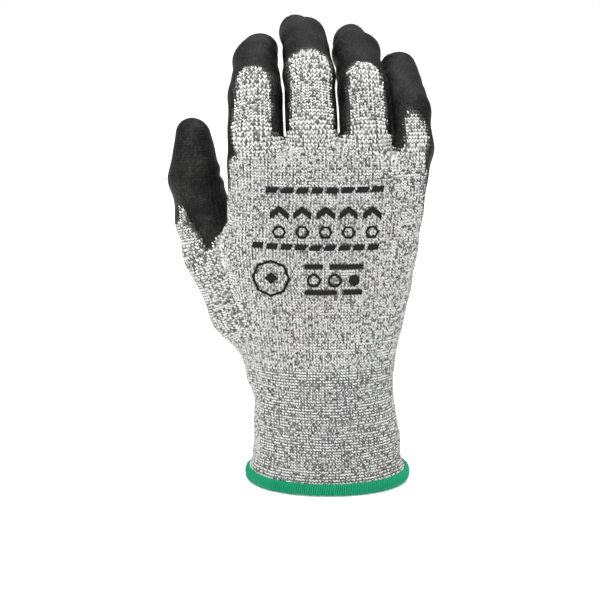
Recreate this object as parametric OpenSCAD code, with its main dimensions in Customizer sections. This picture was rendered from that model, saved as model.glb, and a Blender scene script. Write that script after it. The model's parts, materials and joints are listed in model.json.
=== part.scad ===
// Cut-resistant work glove for the right hand, in the shape it takes when worn.
// A seamless knitted shell has a dipped coating on the palm, the finger sides and all the fingertips.
// +Z runs to the fingertips, -Y is the back of the hand, +Y is the palm and -X is the thumb side.
// The origin is the centre of the wrist opening, in the lower plane of the hem.
// The knit is one tube on the real glove. It is divided here where the fingers and the thumb bend.

/* [Fabric] */
// Thickness of the knit
knit_t = 1.2; // [0.8:0.1:1.8]
// Thickness of the palm coating
coat_t = 0.3; // [0.15:0.05:0.5]
// Gap between the two sides of every joint
joint_gap = 0.3; // [0.2:0.05:0.6]

/* [Cuff] */
// Height of the elastic knitted cuff above the hem's lower plane
cuff_top = 60; // [52:1:66]
// Height of the overlocked hem
hem_h = 5; // [4:0.5:7]
// Thickness of the thread on each side of the knit at the hem
hem_t = 0.9; // [0.5:0.1:1.4]
// Number of elastic yarn rounds laid into the cuff
elastic_rounds = 6; // [3:1:8]
// Distance between two elastic rounds
elastic_pitch = 8; // [5:0.5:8]

/* [Palm coating] */
// Height where the palm coating starts, near the wrist
coat_start = 66; // [62:1:80]
// Height where the coating begins to wrap round the sides of the hand
coat_wrap_start = 98; // [90:1:110]

/* [Finger travel] */
// Largest bend at the finger roots, counted from a straight finger
root_bend_max = 65; // [55:1:70]
// Largest bend at the middle finger joints
middle_bend_max = 80; // [70:1:84]
// Largest bend at the last finger joints
tip_bend_max = 45; // [40:1:55]

/* [Back print] */
// Height of one printed dash
dash_h = 2.3; // [1.5:0.1:3]
// Space between one printed dash and the next
dash_gap = 1.6; // [0.8:0.1:2.5]
// Width of the line of a printed ring
print_line = 1.0; // [0.6:0.1:1.6]
// Thickness of the ink
ink_t = 0.12; // [0.08:0.02:0.2]

/* [Hidden] */
SIDES = 40;
FINE = 48;
FILM_GAP = 0.02;
HEM_GAP = 0.12;
DASH_SLANT = 0.9;
BAR_H = 1.8;
PRINT_BOTTOM = 86;
PRINT_TOP = 140;
BIG = 60;
SPAN = 7;

// Outline of the palm and cuff: height, left side, right side, back depth, palm depth, squareness.
PROFILE = [
    [-6, -34.2, 36.0, 26.5, 26.5, 2.0],
    [8, -32.0, 34.4, 25.0, 25.5, 2.0],
    [22, -31.2, 33.2, 23.5, 24.0, 2.0],
    [40, -31.2, 30.0, 21.0, 22.0, 2.0],
    [56, -33.0, 31.2, 18.5, 20.0, 2.1],
    [72, -36.5, 34.5, 16.5, 18.0, 2.2],
    [90, -40.0, 37.8, 15.0, 16.5, 2.3],
    [108, -42.4, 40.6, 14.0, 15.5, 2.4],
    [132, -43.6, 43.9, 13.2, 14.0, 2.5],
    [148, -43.0, 45.6, 12.6, 12.6, 2.6],
    [162, -41.4, 46.4, 11.6, 11.6, 2.6]
];
PALM_TOP = 162;
PALM_ROOF = 151;

// Ball of the thumb: centre and radius of each ball that its skin wraps, from the wrist up.
THENAR = [
    [[-24, 4, 48], 10.5],
    [[-27, 6, 62], 11.5],
    [[-36, 8, 76], 14.5],
    [[-50.5, 10, 103], 12.2],
    [[-53.3, 12.4, 116], 11.8]
];
WEB = [
    [[-36, 8, 78], 13],
    [[-50.5, 10, 103], 11.2],
    [[-36, 2, 111], 9.5]
];

// Digits: name, root, yaw and lean of its bending plane, radii from root to tip, lengths,
// bends as worn, largest bends towards the palm and largest bends backwards.
FINGER_BENDS = [30, 33, 20];
FINGER_LIMITS = [root_bend_max, middle_bend_max, tip_bend_max];
STRAIGHT = [0, 0, 0];
DIGITS = [
    ["index", [-30, 0, 155], [1.5, 0], [11.3, 10.6, 9.7, 8.9], [20, 25, 22],
        FINGER_BENDS, FINGER_LIMITS, STRAIGHT],
    ["middle", [-6, 0, 158], [4.5, 0], [11.3, 10.6, 9.9, 9.1], [24, 29, 23],
        FINGER_BENDS, FINGER_LIMITS, STRAIGHT],
    ["ring", [17.4, 0, 156], [5.5, 0], [11.0, 10.4, 9.6, 8.8], [21, 27, 23],
        FINGER_BENDS, FINGER_LIMITS, STRAIGHT],
    ["little", [38, 1, 150], [8, 0], [9.0, 8.7, 8.2, 7.6], [17, 20, 20],
        FINGER_BENDS, FINGER_LIMITS, STRAIGHT],
    ["thumb", [-53.3, 12.4, 116], [-60, -16], [11.8, 11.3, 7.2], [18.8, 28],
        [4, 11], [31, 60], [22, 10]]
];
INDEX = 0;
MIDDLE = 1;
RING = 2;
LITTLE = 3;
THUMB = 4;
BASE = 0;
SECOND = 1;
TIP = 2;

function segment_count(d) = len(DIGITS[d][4]);
function last_segment(d) = segment_count(d) - 1;
function rest_bend(d, k) = DIGITS[d][5][k];
function palm_notch(d, k) = DIGITS[d][6][k] / 2 + 1;
function back_notch(d, k) = DIGITS[d][7][k] > 0 ? DIGITS[d][7][k] / 2 + 1 : 0;

// ---- Outline of the palm and cuff ----

// Smooth value of one column of PROFILE at height z, through the four nearest rows.
function row_below(z, i = 0) = i + 2 >= len(PROFILE) || PROFILE[i + 1][0] > z ? i : row_below(z, i + 1);
function cubic(a, b, c, d, t) =
    b + t * (c - a + t * (2 * a - 5 * b + 4 * c - d + t * (3 * (b - c) + d - a))) / 2;
function profile(z, column) =
    let (
        i = row_below(z),
        last = len(PROFILE) - 1,
        t = (z - PROFILE[i][0]) / (PROFILE[i + 1][0] - PROFILE[i][0])
    )
    cubic(
        PROFILE[max(i - 1, 0)][column], PROFILE[i][column],
        PROFILE[i + 1][column], PROFILE[min(i + 2, last)][column], t
    );

// Cosine or sine raised so that the oval becomes squarer as the exponent grows.
function squared(v, n) = sign(v) * pow(abs(v), 2 / n);

// One closed outline at height z, moved outwards by grow.
function outline(z, grow) =
    let (
        left = profile(z, 1),
        right = profile(z, 2),
        n = profile(z, 5),
        half = (right - left) / 2 + grow
    )
    [
        for (i = [0:SIDES - 1])
        let (
            a = 360 * (i + 0.5) / SIDES,
            depth = (sin(a) < 0 ? profile(z, 3) : profile(z, 4)) + grow
        )
        [(left + right) / 2 + half * squared(cos(a), n), depth * squared(sin(a), n), z]
    ];

// Solid between two heights of the palm and cuff outline.
module body_span(low, high, grow) {
    points = concat(outline(low, grow), outline(high, grow));
    hull() polyhedron(points, [[for (i = [0:len(points) - 1]) i]]);
}

module body_solid(low, high, grow) {
    steps = max(1, round((high - low) / SPAN));
    for (i = [0:steps - 1])
        body_span(low + (high - low) * i / steps, low + (high - low) * (i + 1) / steps, grow);
}

module ball(place, radius) {
    translate(place)
        sphere(radius, $fn = 24);
}

module thenar_solid(grow) {
    for (i = [0:len(THENAR) - 2])
        hull() {
            ball(THENAR[i][0], THENAR[i][1] + grow);
            ball(THENAR[i + 1][0], THENAR[i + 1][1] + grow);
        }
    hull()
        for (b = WEB)
            ball(b[0], b[1] + grow);
}

// ---- Digits ----

// Places its children in the bending plane of digit d, at the root.
module at_root(d) {
    translate(DIGITS[d][1])
        rotate([0, DIGITS[d][2][1], 0])
            rotate([0, 0, DIGITS[d][2][0]])
                children();
}

// Places its children at the lower end of segment k of digit d, along that segment.
module at_segment(d, k) {
    if (k == 0)
        at_root(d)
            rotate([-rest_bend(d, 0), 0, 0])
                children();
    else
        at_segment(d, k - 1)
            translate([0, 0, DIGITS[d][4][k - 1]])
                rotate([-rest_bend(d, k), 0, 0])
                    children();
}

// Places its children at the upper end of what comes before joint k, still along it.
module before_joint(d, k) {
    if (k == 0)
        at_root(d)
            children();
    else
        at_segment(d, k - 1)
            translate([0, 0, DIGITS[d][4][k - 1]])
                children();
}

// Solid of one segment, run past its ends by spare. The last segment ends in a ball.
module segment_solid(d, k, grow, spare) {
    radii = DIGITS[d][3];
    tip = k == last_segment(d);
    length = DIGITS[d][4][k] - (tip ? radii[k + 1] : 0);
    slope = (radii[k + 1] - radii[k]) / length;
    above = tip ? 0 : spare;
    translate([0, 0, -spare])
        cylinder(
            h = length + spare + above, r1 = radii[k] - slope * spare + grow,
            r2 = radii[k + 1] + slope * above + grow, $fn = FINE
        );
    if (tip)
        translate([0, 0, length])
            sphere(radii[k + 1] + grow, $fn = FINE);
}

module segment_wall(d, k, outer, inner, spare) {
    difference() {
        segment_solid(d, k, outer, spare);
        segment_solid(d, k, inner, spare + 1);
    }
}

// All that lies past joint k, with the notches on the palm side and the back that leave room to bend.
module beyond(d, k) {
    translate([-BIG, -BIG, 0])
        cube([2 * BIG, 2 * BIG, BIG]);
    rotate([-palm_notch(d, k), 0, 0])
        translate([-BIG, 0, 0])
            cube([2 * BIG, BIG, BIG]);
    if (back_notch(d, k) > 0)
        rotate([back_notch(d, k), 0, 0])
            translate([-BIG, -BIG, 0])
                cube([2 * BIG, BIG, BIG]);
}

// Trims a child, drawn along segment k, back from both of its joints.
module trimmed(d, k) {
    difference() {
        children();
        translate([0, 0, joint_gap / 2])
            mirror([0, 0, 1])
                beyond(d, k);
        if (k < last_segment(d))
            translate([0, 0, DIGITS[d][4][k] - joint_gap / 2])
                beyond(d, k + 1);
    }
}

module knit_sleeve(d, k) {
    color([0.72, 0.72, 0.72])
        at_segment(d, k)
            trimmed(d, k)
                segment_wall(d, k, 0, -knit_t, 2);
}

// Coating film. It leaves a tongue of knit bare on the back, up to the share bare of the length.
module coating_sleeve(d, k, bare) {
    radius = DIGITS[d][3][k];
    color([0.16, 0.16, 0.155])
        at_segment(d, k)
            trimmed(d, k)
                difference() {
                    segment_wall(d, k, coat_t, FILM_GAP, 2);
                    if (bare > 0)
                        translate([-BIG, -BIG, -BIG])
                            cube([2 * BIG, BIG - 0.55 * radius, BIG + bare * DIGITS[d][4][k]]);
                }
}

// Half of the knit that bridges a joint: what the wall loses to the notch, up to the mitre plane.
module bridge_half(d, k) {
    intersection() {
        children();
        translate([0, 0, -joint_gap / 2 + FILM_GAP])
            beyond(d, k);
        rotate([-rest_bend(d, k) / 2, 0, 0])
            translate([-BIG, -BIG, -2 * BIG - FILM_GAP])
                cube([2 * BIG, 2 * BIG, 2 * BIG]);
    }
}

module joint_bridge(d, k) {
    radii = DIGITS[d][3];
    reach = radii[k] * tan(palm_notch(d, k)) + 2;
    color([0.45, 0.45, 0.45]) {
        before_joint(d, k)
            bridge_half(d, k)
                if (k == 0)
                    translate([0, 0, -reach])
                        difference() {
                            cylinder(h = 2 * reach, r = radii[0], $fn = FINE);
                            translate([0, 0, -1])
                                cylinder(h = 2 * reach + 2, r = radii[0] - knit_t, $fn = FINE);
                        }
                else
                    translate([0, 0, -DIGITS[d][4][k - 1]])
                        segment_wall(d, k - 1, 0, -knit_t, 6);
        at_segment(d, k)
            mirror([0, 0, 1])
                bridge_half(d, k)
                    mirror([0, 0, 1])
                        segment_wall(d, k, 0, -knit_t, 6);
    }
}

// ---- Hand ----

// Column of space round one finger root, from just below its joint plane upwards.
module root_column(d, width) {
    at_root(d)
        intersection() {
            translate([0, 0, -joint_gap / 2])
                beyond(d, 0);
            translate([-width / 2, -BIG / 2, -BIG / 3])
                cube([width, BIG, BIG]);
        }
}

// Finger openings, the level top of each finger root and the thumb opening.
module digit_openings() {
    for (d = [INDEX:LITTLE]) {
        root_column(d, d == LITTLE ? 40 : 25);
        at_root(d)
            translate([0, 0, -14])
                cylinder(h = 40, r = DIGITS[d][3][0] - knit_t, $fn = 32);
    }
    at_root(THUMB) {
        translate([0, 0, -3])
            cylinder(h = 40, r = DIGITS[THUMB][3][0] - knit_t, $fn = 32);
        intersection() {
            translate([0, 0, -joint_gap / 2])
                beyond(THUMB, 0);
            translate([0, 0, -8])
                cylinder(h = 40, r = DIGITS[THUMB][3][0] + 1.2, $fn = 32);
        }
    }
}

module hand_outer(grow, low) {
    body_solid(low, PALM_TOP, grow);
    intersection() {
        thenar_solid(grow);
        translate([-2 * BIG, -BIG, low])
            cube([3 * BIG, 2 * BIG, 2 * BIG]);
    }
}

module palm_knit() {
    color([0.72, 0.72, 0.72])
        difference() {
            hand_outer(0, cuff_top);
            body_solid(cuff_top - 1, PALM_ROOF, -knit_t);
            thenar_solid(-knit_t);
            digit_openings();
        }
}

// Palm side, sides of the hand above the wrap height, and the web side of the thumb.
module coated_zone() {
    translate([-2 * BIG, 5, coat_start])
        cube([4 * BIG, BIG, 2 * BIG]);
    translate([-2 * BIG, -1, coat_wrap_start])
        cube([4 * BIG, BIG, 2 * BIG]);
    intersection() {
        at_root(THUMB)
            translate([-BIG, -3, -16])
                cube([2 * BIG, BIG, BIG]);
        translate([-2 * BIG, -BIG, coat_wrap_start])
            cube([1.3 * BIG, 2 * BIG, BIG]);
    }
}

module palm_coating() {
    color([0.16, 0.16, 0.155])
        intersection() {
            difference() {
                hand_outer(coat_t, coat_start - 1);
                hand_outer(FILM_GAP, coat_start - 4);
                digit_openings();
            }
            coated_zone();
        }
}

// The cuff is knitted to a slightly smaller size than the hand where it closes on the wrist.
module cuff_knit() {
    color([0.70, 0.70, 0.70])
        difference() {
            union() {
                body_solid(hem_t, cuff_top - FILM_GAP, 0);
                intersection() {
                    thenar_solid(0);
                    translate([-BIG, -BIG, 30])
                        cube([2 * BIG, 2 * BIG, cuff_top - FILM_GAP - 30]);
                }
            }
            body_solid(hem_t - 1, cuff_top + 1, -knit_t);
            thenar_solid(-knit_t);
        }
}

// Elastic yarn rounds that lie against the inside of the cuff.
module cuff_elastic() {
    yarn = 0.5;
    color([0.92, 0.92, 0.88])
        for (i = [0:elastic_rounds - 1])
            let (low = hem_h + 3 + i * elastic_pitch)
                difference() {
                    body_span(low, low + yarn, -knit_t - 0.1);
                    body_span(low - 1, low + yarn + 1, -knit_t - 0.6);
                }
}

// Thread that wraps the lower edge of the cuff on both faces, in a rounded roll.
module hem_overlock() {
    bevel = 0.5;
    color([0.18, 0.67, 0.47])
        difference() {
            union() {
                body_span(0, bevel, hem_t - bevel);
                body_span(bevel, hem_h - bevel, hem_t);
                body_span(hem_h - bevel, hem_h, hem_t - bevel);
            }
            body_span(-1, bevel, -knit_t - hem_t + bevel);
            body_span(bevel, hem_h / 2, -knit_t - hem_t);
            body_span(hem_h / 2, hem_h + 1, -knit_t - hem_t);
            difference() {
                body_span(hem_t - HEM_GAP, hem_h + 1, HEM_GAP);
                body_span(hem_t - 1, hem_h + 2, -knit_t - HEM_GAP);
            }
        }
}

// ---- Print on the back of the hand ----

// A row of slanted dashes, seen from the back of the hand.
module dash_row(left, right, height, count, tilt) {
    pitch = (right - left) / count;
    dash_w = pitch - dash_gap;
    for (i = [0:count - 1])
        translate([left + pitch * i, height + tilt * (i / (count - 1) - 0.5)])
            polygon([[0, 0], [dash_w, 0], [dash_w + DASH_SLANT, dash_h], [DASH_SLANT, dash_h]]);
}

// A plain chevron that points to the fingertips.
module chevron(x, height, size) {
    translate([x, height])
        polygon([
            [-size, 0], [0, size * 0.8], [size, 0],
            [size, size * 0.75], [0, size * 1.55], [-size, size * 0.75]
        ]);
}

// A plain ring with a number of straight sides.
module flat_ring(x, height, radius, sides) {
    translate([x, height])
        difference() {
            circle(radius, $fn = sides);
            circle(radius - print_line, $fn = sides);
        }
}

module bar(x, height, width) {
    translate([x, height])
        square([width, BAR_H]);
}

module print_drawing() {
    dash_row(-26, 26, 133.5, 8, 0.8);
    dash_row(-32, 24, 108.5, 9, -0.8);
    for (x = [-20:10:20]) {
        chevron(x, 121.5, 3.9);
        flat_ring(x, 116, 3.1, 6);
    }

    // The round badge on the thumb side.
    flat_ring(-23.5, 95.5, 8.3, 8);
    translate([-23.5, 95.5])
        circle(2.8, $fn = 4);

    // Two rings and a dot between two pairs of bars.
    bar(-9, 100, 8);
    bar(2, 100, 14);
    bar(-9, 88.6, 14);
    bar(8, 88.6, 8);
    flat_ring(-5, 94.8, 3.1, 10);
    flat_ring(4, 94.8, 3.1, 10);
    translate([12.5, 94.8])
        circle(2.4, $fn = 24);
}

module back_print() {
    color([0.08, 0.08, 0.085])
        intersection() {
            difference() {
                body_solid(PRINT_BOTTOM, PRINT_TOP, ink_t);
                body_solid(PRINT_BOTTOM - 2, PRINT_TOP + 2, FILM_GAP);
            }
            translate([0, 5, 0])
                rotate([90, 0, 0])
                    linear_extrude(30)
                        print_drawing();
        }
}

// ---- Digit nodes ----

module index_base_knit() knit_sleeve(INDEX, BASE);
module index_middle_knit() knit_sleeve(INDEX, SECOND);
module index_tip_knit() knit_sleeve(INDEX, TIP);
module index_base_coating() coating_sleeve(INDEX, BASE, 1);
module index_middle_coating() coating_sleeve(INDEX, SECOND, 0.1);
module index_tip_coating() coating_sleeve(INDEX, TIP, 0);
module index_root_bend() joint_bridge(INDEX, BASE);
module index_middle_bend() joint_bridge(INDEX, SECOND);
module index_tip_bend() joint_bridge(INDEX, TIP);

module middle_base_knit() knit_sleeve(MIDDLE, BASE);
module middle_middle_knit() knit_sleeve(MIDDLE, SECOND);
module middle_tip_knit() knit_sleeve(MIDDLE, TIP);
module middle_base_coating() coating_sleeve(MIDDLE, BASE, 1);
module middle_middle_coating() coating_sleeve(MIDDLE, SECOND, 0.25);
module middle_tip_coating() coating_sleeve(MIDDLE, TIP, 0);
module middle_root_bend() joint_bridge(MIDDLE, BASE);
module middle_middle_bend() joint_bridge(MIDDLE, SECOND);
module middle_tip_bend() joint_bridge(MIDDLE, TIP);

module ring_base_knit() knit_sleeve(RING, BASE);
module ring_middle_knit() knit_sleeve(RING, SECOND);
module ring_tip_knit() knit_sleeve(RING, TIP);
module ring_base_coating() coating_sleeve(RING, BASE, 1);
module ring_middle_coating() coating_sleeve(RING, SECOND, 0.2);
module ring_tip_coating() coating_sleeve(RING, TIP, 0);
module ring_root_bend() joint_bridge(RING, BASE);
module ring_middle_bend() joint_bridge(RING, SECOND);
module ring_tip_bend() joint_bridge(RING, TIP);

module little_base_knit() knit_sleeve(LITTLE, BASE);
module little_middle_knit() knit_sleeve(LITTLE, SECOND);
module little_tip_knit() knit_sleeve(LITTLE, TIP);
module little_base_coating() coating_sleeve(LITTLE, BASE, 0.75);
module little_middle_coating() coating_sleeve(LITTLE, SECOND, 0);
module little_tip_coating() coating_sleeve(LITTLE, TIP, 0);
module little_root_bend() joint_bridge(LITTLE, BASE);
module little_middle_bend() joint_bridge(LITTLE, SECOND);
module little_tip_bend() joint_bridge(LITTLE, TIP);

module thumb_base_knit() knit_sleeve(THUMB, BASE);
module thumb_tip_knit() knit_sleeve(THUMB, SECOND);
module thumb_base_coating() coating_sleeve(THUMB, BASE, 0.5);
module thumb_tip_coating() coating_sleeve(THUMB, SECOND, 0);
module thumb_root_bend() joint_bridge(THUMB, BASE);
module thumb_tip_bend() joint_bridge(THUMB, SECOND);

palm_knit();
palm_coating();
cuff_knit();
cuff_elastic();
hem_overlock();
back_print();
index_base_knit();
index_middle_knit();
index_tip_knit();
index_base_coating();
index_middle_coating();
index_tip_coating();
index_root_bend();
index_middle_bend();
index_tip_bend();
middle_base_knit();
middle_middle_knit();
middle_tip_knit();
middle_base_coating();
middle_middle_coating();
middle_tip_coating();
middle_root_bend();
middle_middle_bend();
middle_tip_bend();
ring_base_knit();
ring_middle_knit();
ring_tip_knit();
ring_base_coating();
ring_middle_coating();
ring_tip_coating();
ring_root_bend();
ring_middle_bend();
ring_tip_bend();
little_base_knit();
little_middle_knit();
little_tip_knit();
little_base_coating();
little_middle_coating();
little_tip_coating();
little_root_bend();
little_middle_bend();
little_tip_bend();
thumb_base_knit();
thumb_tip_knit();
thumb_base_coating();
thumb_tip_coating();
thumb_root_bend();
thumb_tip_bend();
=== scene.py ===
# %% [markdown]
# # A knitted cut resistant glove with a dipped palm
# The glove is one seamless knitted tube, so there is no flat cloth to cut and sew.
# We describe the worn shape as a distance field, take one smooth skin from it, and then
# lay real yarn stitches, a coating film, a hem and a print on that skin.
# Everything is worked out in millimetres and turned into metres when a mesh is made.

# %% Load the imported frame
import json

import bmesh
import bpy
import numpy as np
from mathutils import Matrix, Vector

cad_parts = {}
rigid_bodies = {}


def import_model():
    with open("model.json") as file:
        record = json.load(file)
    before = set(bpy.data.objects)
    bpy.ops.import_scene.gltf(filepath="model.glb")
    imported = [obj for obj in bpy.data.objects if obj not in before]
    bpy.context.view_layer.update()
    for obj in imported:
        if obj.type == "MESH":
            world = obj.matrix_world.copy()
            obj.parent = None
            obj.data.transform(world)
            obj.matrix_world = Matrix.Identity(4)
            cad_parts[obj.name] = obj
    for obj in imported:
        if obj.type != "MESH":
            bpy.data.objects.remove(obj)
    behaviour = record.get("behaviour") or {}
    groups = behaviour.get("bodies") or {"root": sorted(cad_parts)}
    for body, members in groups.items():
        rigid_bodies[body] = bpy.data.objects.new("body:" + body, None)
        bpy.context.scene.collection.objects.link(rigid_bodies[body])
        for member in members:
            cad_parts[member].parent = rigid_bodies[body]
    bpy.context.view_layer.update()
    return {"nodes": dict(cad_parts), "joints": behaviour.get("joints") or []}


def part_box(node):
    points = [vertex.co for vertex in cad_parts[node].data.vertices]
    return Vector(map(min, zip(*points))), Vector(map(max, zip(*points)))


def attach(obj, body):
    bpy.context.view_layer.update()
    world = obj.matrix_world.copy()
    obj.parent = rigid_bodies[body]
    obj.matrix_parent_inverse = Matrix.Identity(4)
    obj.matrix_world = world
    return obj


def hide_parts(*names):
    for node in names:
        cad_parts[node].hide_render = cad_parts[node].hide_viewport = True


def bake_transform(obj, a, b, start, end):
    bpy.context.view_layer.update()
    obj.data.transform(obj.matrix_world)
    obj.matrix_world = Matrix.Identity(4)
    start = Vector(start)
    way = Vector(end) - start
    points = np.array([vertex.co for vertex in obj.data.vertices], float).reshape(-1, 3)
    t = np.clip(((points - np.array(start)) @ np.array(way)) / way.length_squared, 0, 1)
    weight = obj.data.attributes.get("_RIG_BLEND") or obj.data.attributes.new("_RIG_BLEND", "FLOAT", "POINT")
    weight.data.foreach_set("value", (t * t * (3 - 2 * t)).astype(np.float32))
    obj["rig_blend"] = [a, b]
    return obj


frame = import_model()
MM = 0.001


# %% [markdown]
# ## Where the fingers are
# The joints of the frame give the centre line of every finger: a root joint, a middle joint and
# a tip joint, and the far end of the tip sleeve. Only the radii are added here.
# They are the half widths of a worn size 8 glove.

# %% Digits from the joints
RADII = {
    "index": (12.2, 11.2, 9.2, 8.1),
    "middle": (11.4, 10.9, 9.4, 7.5),
    "ring": (11.2, 10.7, 9.5, 7.2),
    "little": (8.8, 8.7, 8.3, 7.4),
    "thumb": (12.0, 10.8, 7.3),
}
DIGITS = tuple(RADII)
FINGERS = DIGITS[:4]
JOINTS = {j["name"]: np.array(j["pos_m"]) / MM for j in frame["joints"]}
# Sideways and upward shift of the end of each fingertip: filled fingers never end quite true.
TIP_SHIFT = {
    "index": (2.6, 0, 0.6), "middle": (-3.4, 0, -0.4), "ring": (-1.6, 0, 2.4),
    "little": (1.3, 0, 5.6), "thumb": (0.4, 0, -1.8),
}
STAGES = {d: ("root", "middle", "tip") if d in FINGERS else ("root", "tip") for d in DIGITS}


def unit(v):
    return v / np.maximum(np.linalg.norm(v, axis=-1, keepdims=True), 1e-9)


def centre_line(digit):
    """Joint centres and, last, the centre of the ball that closes the fingertip."""
    points = [JOINTS[f"{digit}_{stage}"] for stage in STAGES[digit]]
    tip_node = frame["nodes"][f"{digit}_tip_knit"]
    corners = np.array([v.co for v in tip_node.data.vertices]) / MM
    apex = corners[np.argmax(np.linalg.norm(corners - points[-1], axis=1))]
    end = apex + np.array(TIP_SHIFT[digit])
    return np.array(points + [end - unit(end - points[-1]) * RADII[digit][-1]])


LINES = {d: centre_line(d) for d in DIGITS}
PALM_SIDE = {d: np.array([0.0, 1.0, 0.0]) for d in FINGERS}
PALM_SIDE["thumb"] = unit(np.array([0.87, 0.5, 0.0]))
for d in DIGITS:
    print(d, "lengths in mm:", np.linalg.norm(np.diff(LINES[d], axis=0), axis=1).round(1))


# %% [markdown]
# ## The worn shape as a distance field
# A distance field says, for any point, how far it is outside the surface, or inside when negative.
# Fields join softly with a smooth minimum, which is just what stretched knit does in the web
# of the thumb and between the fingers. The palm and cuff are one oval tube whose width and
# depth change with height, and every finger segment is a cone with round ends.

# %% Palm and cuff outline
# Height, left side, right side, back depth, palm depth and squareness of the oval.
PROFILE = np.array([
    (-6, -38.8, 42.2, 29.8, 28.0, 2.35),
    (8, -32.0, 34.4, 25.0, 25.5, 2.0),
    (22, -31.2, 33.2, 23.5, 24.0, 2.0),
    (40, -31.2, 30.0, 21.0, 22.0, 2.0),
    (56, -33.0, 31.2, 18.5, 20.0, 2.1),
    (72, -36.5, 34.5, 16.5, 18.0, 2.2),
    (90, -40.0, 37.8, 15.0, 16.5, 2.3),
    (108, -42.4, 40.6, 14.0, 15.5, 2.4),
    (132, -42.0, 43.7, 13.2, 14.0, 2.5),
    (148, -42.2, 45.0, 12.6, 12.6, 2.6),
    (162, -41.8, 45.6, 11.6, 11.6, 2.6),
])


def smooth_rows(rows, step=0.5):
    """The table at every half millimetre of height, on a smooth curve through its rows."""
    heights = np.arange(rows[0, 0], rows[-1, 0] + step, step)
    slopes = np.gradient(rows[:, 1:], rows[:, 0], axis=0)
    i = np.clip(np.searchsorted(rows[:, 0], heights, side="right") - 1, 0, len(rows) - 2)
    span = (rows[i + 1, 0] - rows[i, 0])[:, None]
    t = (heights[:, None] - rows[i, 0][:, None]) / span
    a, b, c, d = rows[i, 1:], slopes[i] * span, rows[i + 1, 1:], slopes[i + 1] * span
    return heights, (
        (2 * t**3 - 3 * t**2 + 1) * a + (t**3 - 2 * t**2 + t) * b
        + (3 * t**2 - 2 * t**3) * c + (t**3 - t**2) * d
    )


HEIGHTS, ROWS = smooth_rows(PROFILE)


def oval(z):
    """Centre, half width, back depth, palm depth and squareness of the outline at height z."""
    left, right, back, palm, square = (np.interp(z, HEIGHTS, ROWS[:, i]) for i in range(5))
    return (left + right) / 2, (right - left) / 2, back, palm, square


# Top of the palm below the fingers: places across the hand, and heights.
KNUCKLE_TOP = ([-42, -18, 5.7, 28.5, 46], [151, 152, 154, 148.5, 146])
# How far two shapes reach into each other where they join.
SOFT = {"palm top": 9, "thumb": 3, "web": 4, "finger": 2.2, "finger root": 5, "hand": 3.5}


def palm_distance(p):
    z = p[:, 2]
    centre, half, back, palm, n = oval(z)
    depth = np.where(p[:, 1] < 0, back, palm)
    x = np.maximum(np.abs(p[:, 0] - centre) / half, 1e-4)
    y = np.maximum(np.abs(p[:, 1]) / depth, 1e-4)
    size = (x**n + y**n) ** (1 / n)
    slope = size ** (1 - n) * np.hypot(x ** (n - 1) / half, y ** (n - 1) / depth)
    side = (size - 1) / np.maximum(slope, 1e-3)
    return -smooth_min(-side, np.interp(p[:, 0], *KNUCKLE_TOP) - z, SOFT["palm top"])


def smooth_min(a, b, reach):
    h = np.maximum(reach - np.abs(a - b), 0) / reach
    return np.minimum(a, b) - h * h * reach / 4


# %% Round cones for the fingers and the ball of the thumb
def round_cone(p, a, b, ra, rb):
    """Distance to the skin of two balls and the cone that wraps them."""
    ba = b - a
    length2 = ba @ ba
    taper = ra - rb
    a2 = length2 - taper * taper
    pa = p - a
    y = pa @ ba
    z = y - length2
    x2 = ((pa * length2 - y[:, None] * ba) ** 2).sum(1)
    y2, z2 = y * y * length2, z * z * length2
    k = np.sign(taper) * taper * taper * x2
    far = np.sign(z) * a2 * z2 > k
    near = np.sign(y) * a2 * y2 < k
    return np.where(
        far, np.sqrt(x2 + z2) / length2 - rb,
        np.where(
            near, np.sqrt(x2 + y2) / length2 - ra,
            (np.sqrt(x2 * a2 / length2) + y * taper) / length2 - ra,
        ),
    )


# Ball of the thumb from the wrist up to the thumb root, and the web to the index finger.
THUMB_BALL = [
    ((-24, 4, 48), 10.5), ((-27, 6, 62), 11.5), ((-36, 8, 76), 14.5), ((-50.5, 10, 103), 12.2),
]
THUMB_HEEL = (-23, 3, 34)
THUMB_WEB = [((-36, 8, 78), 12.0), ((-37, 3, 104), 9.5), ((-50.5, 10, 103), 10.5)]


def chain_distance(p, points, radii, softness):
    total = None
    for a, b, ra, rb in zip(points[:-1], points[1:], radii[:-1], radii[1:]):
        d = round_cone(p, np.array(a, float), np.array(b, float), ra, rb)
        total = d if total is None else smooth_min(total, d, softness)
    return total


def parts_distance(p):
    """Distance to the palm, to the thumb with its ball, and to every finger, one column each."""
    ball, ball_radii = zip(*THUMB_BALL)
    thumb = chain_distance(
        p, [*ball, *LINES["thumb"]], [*ball_radii, *RADII["thumb"]], SOFT["thumb"]
    )
    web = chain_distance(p, *zip(*THUMB_WEB), SOFT["web"])
    columns = [smooth_min(palm_distance(p), web, SOFT["web"]), thumb]
    columns += [chain_distance(p, LINES[d], RADII[d], SOFT["finger"]) for d in FINGERS]
    return np.stack(columns, 1)


# %% [markdown]
# ## Folds
# Fabric is never as even as a formula. Long shallow waves keep the surface from looking turned
# on a lathe, and where a finger bends the fabric on the palm side gathers into a crease with
# a small roll on either side of it.

# %% Folds and the whole surface
CREASE_DEPTH = 0.75
CREASE_WIDTH = 1.5
ROLL_SHARE = 0.55
ROLL_PLACE = 3.6
ROLL_WIDTH = 1.6
FINGER_GAP = 1.9
# Height of the web between neighbouring fingers, from the index side to the little finger.
WEB_TOP = ([-18, 5.7, 28.5], [154.5, 156.5, 152])


def bell(x, middle, width, power=2):
    """1 at the middle, fading to 0 beyond the width."""
    return np.exp(-(((x - middle) / width) ** power))


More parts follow.
